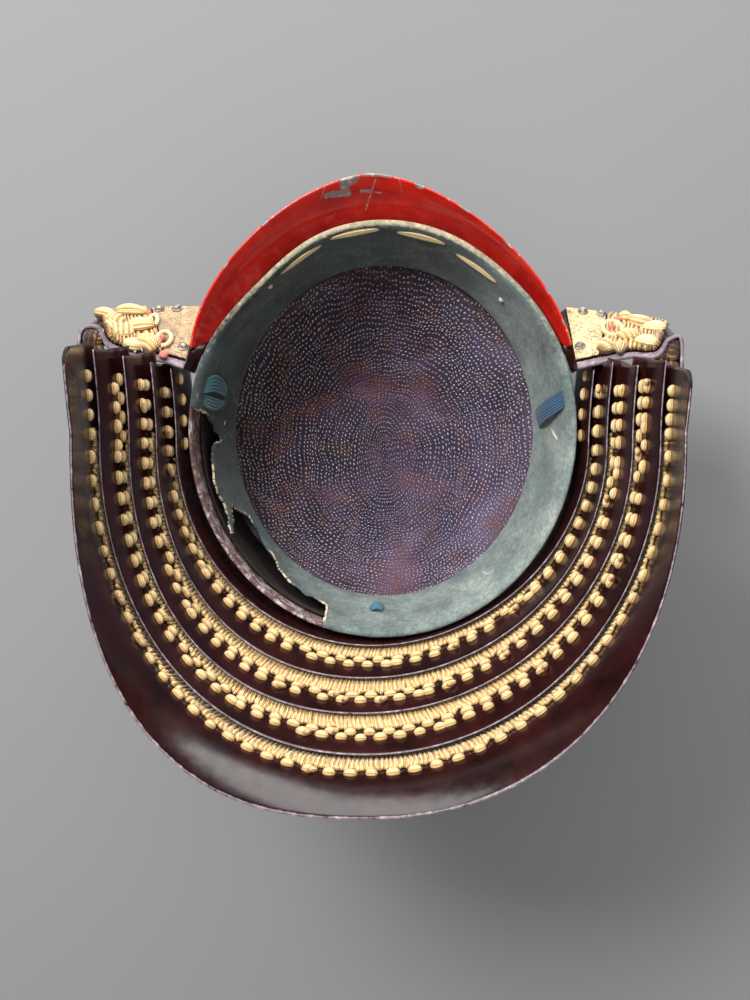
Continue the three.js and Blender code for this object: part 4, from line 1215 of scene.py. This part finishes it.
# Bundles of rope inside each curl: place along and down, depth behind the plate, size.
CURL_BUNDLES = {
    -1: [(0.75, 0.80, 7, 12), (0.86, 0.88, 6, 12), (0.56, 0.80, 6, 10), (0.93, 0.8, 6, 11)],
    1: [(0.80, 0.85, 6.5, 11), (0.72, 0.72, 9, 11), (0.92, 0.8, 6.5, 12), (0.97, 0.85, 6, 9),
        (0.52, 0.75, 7, 9)],
}


def leather_end(share):
    return lerp(LEATHER_END[0], LEATHER_END[1], share)


def wing_front(side):
    return lambda u, v, lift: wing_point(side, u, v, -lift)


def wing_leather(side):
    """Printed deerskin glued on the wing, with a scalloped lower edge."""
    mesh = new_mesh()
    section = wall_section(10, 0.03)

    def surface(u, down, depth):
        scallop = 0.018 * abs(math.sin(math.pi * u * 14)) + 0.01 * swell(u * 9, 2, side)
        share = lerp(0.02, 0.9 - scallop, clamp(down))
        ripple = 0.35 * swell(u * 6, down * 5, side) * (1 - depth)
        along = u * leather_end(share)
        return wing_point(side, along, share, -2 * GAP - (1.0 + ripple) * (1 - depth))

    wall(mesh, 60, section, surface, (30, 100))
    add_piece(f"printed_leather_{SIDES[side]}", mesh, [PRINTED_LEATHER],
              [f"wing_leather_{SIDES[side]}"])


def wing_knots(side):
    """The ends of the laces, knotted and frayed where the wing meets the leather."""
    for finish, material in enumerate((LACE_SILK, CREAM_CORD, RED_SILK)):
        mesh = new_mesh()
        for along, down, turn, length, width, height, shape, made_of in WING_KNOTS[side]:
            if made_of != finish:
                continue
            facing = math.radians(turn)
            seat = seat_on(wing_front(side), along, down, 0.004, 1.4 + height * 0.3, facing)
            tuft(mesh, seat, length, width, height, **shape)
        if finish == 0:
            laid_laces(mesh, side)
        if finish == 1:
            for along, down, half_length, half_width in WING_LOOPS[side]:
                seat = seat_on(wing_front(side), along, down, 0.004, 2.6)
                cord_ring(mesh, seat, half_length, half_width, 1.4)
            if side < 0:
                frayed_end(mesh, wing_front(side), 0.335, 0.9)
        name = ("gold", "pale", "red")[finish]
        node = [f"wing_lacing_{SIDES[side]}"] if finish == 0 else []
        add_piece(f"{name}_wing_knots_{SIDES[side]}", mesh, [material], node)


def laid_laces(mesh, side):
    """The laces laid side by side on the wing, which the knots stand on."""
    section = flat_section(12)

    def ridge(u, down):
        wander = 1.1 * swell(u * 5, down * 3, side * 4)
        return abs(math.sin(math.pi * (u * 14 + wander))) ** 0.6

    def surface(u, down, depth):
        share = lerp(0.05, 0.88 + 0.03 * swell(u * 30, 1, side), down)
        start = leather_end(share) + 0.012
        along = lerp(start, 0.66 - 0.08 * share, u)
        return wing_point(side, along, share, -2 * GAP - (1.0 + 1.9 * ridge(u, down)) * (1 - depth))

    def wear(u, down, depth):
        # Painted shade between the laces and painted highlight on their crests, with some random tone.
        return clamp(0.1 + 0.6 * ridge(u, down) ** 2 + 0.3 * swell(u * 40, down * 5, side))

    wall(mesh, 140, section, surface, (45, 60), wear)


def cord_ring(mesh, seat, half_length, half_width, radius):
    """A closed loop of thin cord round the Y axis of its seat."""
    def place(u, v):
        turn, round_it = math.tau * u, math.tau * v
        reach = radius * math.cos(round_it)
        point = Vector(((half_width + reach) * math.sin(turn), radius * math.sin(round_it),
                        (half_length + reach) * math.cos(turn)))
        return (seat @ point - AXIS) / MM

    # Painted light: the cord is paler on its top and darker beneath.
    bent_grid(mesh, 24, 8, place, (24, 6), lambda u, v: 0.55 + 0.4 * math.sin(math.tau * v), join=True)


def frayed_end(mesh, surface, along, down):
    """A lace that has come apart into loose fibres."""
    for _ in range(26):
        start = (along + random.uniform(-0.035, 0.035), down + random.uniform(-0.1, 0.02))
        drift = (random.uniform(-0.03, 0.03), random.uniform(0.02, 0.14))
        lift = random.uniform(2.0, 4.5)

        def path(v):
            return surface(start[0] + drift[0] * v, start[1] + drift[1] * v, lift * (1 - 0.6 * v * v))

        off = surface(along, down, 1) - surface(along, down, 0)
        tube(mesh, path, 0.45, lambda v: off, 3, 5, 6)


def curl_bundles(side):
    """Thick gold laces wound inside the curl of the wing, in a darker copy of the gold silk and darkened
    a little more, as painted shade inside the curl.
    """
    mesh = new_mesh()

    def back(u, v, lift):
        return wing_point(side, u, v, WING_WALL + lift)

    for along, down, depth, size in CURL_BUNDLES[side]:
        for twist in range(3):
            seat = seat_on(back, along, down, 0.004, depth - 2.5 * twist + 2, math.radians(90 + 35 * twist))
            tuft(mesh, seat, size, size * 0.8, 3.6, bands=5, twist=0.9, shade=0.1)
    add_piece(f"curl_laces_{SIDES[side]}", mesh, [BROWN_SILK], [f"curl_lacing_{SIDES[side]}"])


def wing_studs(side):
    """Small domed studs with a turned collar."""
    mesh = new_mesh()
    for along, down in WING_STUDS[side]:
        seat = seat_on(wing_front(side), along, down, 0.004, 1.7)
        verts = [mesh.verts.new(seat @ Vector((radius, height, 0))) for radius, height in STUD_OUTLINE]
        edges = [mesh.edges.new((a, b)) for a, b in zip(verts, verts[1:])]
        centre = seat @ Vector((0, 0, 0))
        axis = (seat @ Vector((0, 1, 0)) - centre).normalized()
        bmesh.ops.spin(mesh, geom=verts + edges, cent=centre, axis=axis, angle=math.tau, steps=20,
                       use_merge=True, use_duplicate=False)
    bmesh.ops.remove_doubles(mesh, verts=mesh.verts, dist=2e-6)
    nodes = [f"wing_stud_{SIDES[side]}_{i}" for i in (1, 2, 3)]
    add_piece(f"domed_studs_{SIDES[side]}", mesh, [PATINATED_METAL], nodes)


# ---------------------------------------------------------------- cords on the lining
# Stitches of twisted cord over the front of the band: bearing and share of its width.
BROW_STITCHES = [(-27.5, 0.09), (-8.6, 0.04), (12.5, 0.09), (32.5, 0.2)]
BROW_SPAN = 16              # degrees that each of them takes
BROW_KNOTS = [(-40.5, 0.15), (45.0, 0.45)]


def brow_stitch(number, bearing, share):
    """One spindle of three cords, thick in the middle where they leave each other."""
    mesh = new_mesh()
    for strand in range(3):
        spread = (strand - 1) * 0.036

        def path(v):
            belly = math.sin(math.pi * lerp(0.1, 0.9, v))
            here = bearing + BROW_SPAN * (v - 0.5)
            return leather_surface(here, share + spread * belly, 0.9 + (1.0 if strand == 1 else 0.5) * belly)

        def off(v):
            here = bearing + BROW_SPAN * (v - 0.5)
            return (leather_point(here, share, 1) - leather_point(here, share, 0)).normalized()

        tube(mesh, path, 0.95, off, 1.8, 8, 24, 6)
    add_piece(f"brow_cord_{number}", mesh, [CREAM_CORD], [f"brow_stitch_{number}"])


def lining_knots():
    """Small knots, a bit of twig and short stitches of pale thread on the suede."""
    mesh = new_mesh()
    for bearing, share in BROW_KNOTS:
        seat = seat_on(leather_surface, bearing, share, 0.5, 1.0)
        puff(mesh, seat, 3.4, 3.0, 1.6)
    stitches = [((93.5, 0.26), (89.5, 0.5), 0.7), ((-88.5, 0.68), (-86.5, 0.72), 0.5),
                ((141.0, 0.42), (142.5, 0.47), 0.4), ((142.5, 0.47), (141.6, 0.53), 0.4),
                ((141.6, 0.53), (143.2, 0.58), 0.4)]
    for start, end, radius in stitches:
        def path(v):
            lift = 0.6 + 0.4 * math.sin(math.pi * v)
            return leather_surface(lerp(start[0], end[0], v), lerp(start[1], end[1], v), lift)

        off = leather_point(start[0], start[1], 1) - leather_point(start[0], start[1], 0)
        tube(mesh, path, radius, lambda v: off.normalized(), 6, 6, 8)
    add_piece("pale_thread_ends", mesh, [PALE_THREAD])


# Loops of cord for the chin ties, indigo at the right and teal elsewhere. Threads run through three
# places each, as millimetres sideways (outwards), along the rim (towards the front on the left) and
# off the band.
CHIN_LOOPS = {
    "left": {"bearing": -78.7, "share": 0.42, "threads": [
        ((17, 4 - 1.5 * i, 0.8), (8, 8.6 - 1.9 * i, 3.6), (-9, 3 - 0.8 * i, 2.2)) for i in range(5)
    ] + [((-9, -2 - 0.6 * i, 2.0), (3, -9 + 1.7 * i, 3.2), (16, -7 + 1.2 * i, 0.8)) for i in range(4)]},
    "right": {"bearing": 84.3, "share": 0.52, "threads": [
        ((-19 + 0.6 * i, -1 + 1.5 * i, 1.2), (3, -4.5 + 1.5 * i, 5.8 - 0.3 * abs(i - 3)),
         (24, -9.5 + 1.4 * i, 1.0)) for i in range(7)]},
    "rear": {"bearing": -177.8, "share": 0.6, "threads": [
        ((1.8 * i - 4.5, 0.5 * abs(i - 2.5) - 4.8, 0.6), (1.8 * i - 4.5, 0, 2.8),
         (1.8 * i - 4.5, 4.8 - 0.5 * abs(i - 2.5), 0.6)) for i in range(6)]},
}


def chin_loop(name):
    """A chin tie: cords side by side, each bent through its three places."""
    made = CHIN_LOOPS[name]
    mesh = new_mesh()
    seat = seat_on(leather_surface, made["bearing"], made["share"], 0.5)
    up = (seat @ Vector((0, 1, 0)) - seat @ Vector((0, 0, 0))).normalized()
    for first, middle, last in made["threads"]:
        points = [Vector((x, off, z)) for x, z, off in (first, middle, last)]

        def path(v):
            a, b, c = points
            through = b * 2 - (a + c) / 2
            here = a * (1 - v) ** 2 + through * (2 * v * (1 - v)) + c * v * v
            return (seat @ here - AXIS) / MM

        tube(mesh, path, 0.95, lambda v: up, 8, 7, 18, 5)
    finish = INDIGO_CORD if name == "right" else TEAL_CORD
    add_piece(f"chin_tie_{name}", mesh, [finish], [f"chin_loop_{name}"])


# ---------------------------------------------------------------- floor and light
# Soft lights: name, place in millimetres, width and height in metres, power in watts.
LIGHTS = [
    ("key", (-700, 700, 1500), 0.6, 0.6, 36), ("low front", (250, 1500, 560), 2.4, 0.9, 46),
    ("overhead", (150, -200, 1700), 1.4, 1.4, 10), ("back", (300, -1300, 700), 0.8, 0.8, 4),
]
LIGHT_AIM = (0, -30, 120)


def studio():
    """A plain pale floor, soft lights and a faint sky."""
    mesh = bmesh.new()
    bmesh.ops.create_grid(mesh, x_segments=1, y_segments=1, size=4)
    data = bpy.data.meshes.new("floor")
    mesh.to_mesh(data)
    mesh.free()
    floor = bpy.data.objects.new("floor", data)
    scene.collection.objects.link(floor)
    paper, _, _, _, _ = new_material("studio_paper", {"Base Color": "#7f7f7f", "Roughness": 0.9})
    data.materials.append(paper)
    world = bpy.data.worlds.new("studio_air")
    world.use_nodes = True
    world.node_tree.nodes["Background"].inputs["Color"].default_value = linear("#dfe2e8")
    world.node_tree.nodes["Background"].inputs["Strength"].default_value = 0.16
    scene.world = world
    scene.view_settings.view_transform = "Standard"
    for name, spot, width, height, power in LIGHTS:
        light = bpy.data.lights.new(name, "AREA")
        light.shape = "RECTANGLE"
        light.size = width
        light.size_y = height
        light.energy = power
        lamp = bpy.data.objects.new(name, light)
        scene.collection.objects.link(lamp)
        lamp.matrix_world = aimed(in_frame(spot), in_frame(LIGHT_AIM), Vector((0, 1, 0)))


crown_ring()
bowl()
base_band()
peak()
lining_band()
cap_lining()
quilting()
neck_guard()
for side in SIDES:
    wing_leather(side)
    wing_knots(side)
    curl_bundles(side)
    wing_studs(side)
for number, (bearing, share) in enumerate(BROW_STITCHES, 1):
    brow_stitch(number, bearing, share)
lining_knots()
for name in CHIN_LOOPS:
    chin_loop(name)
studio()
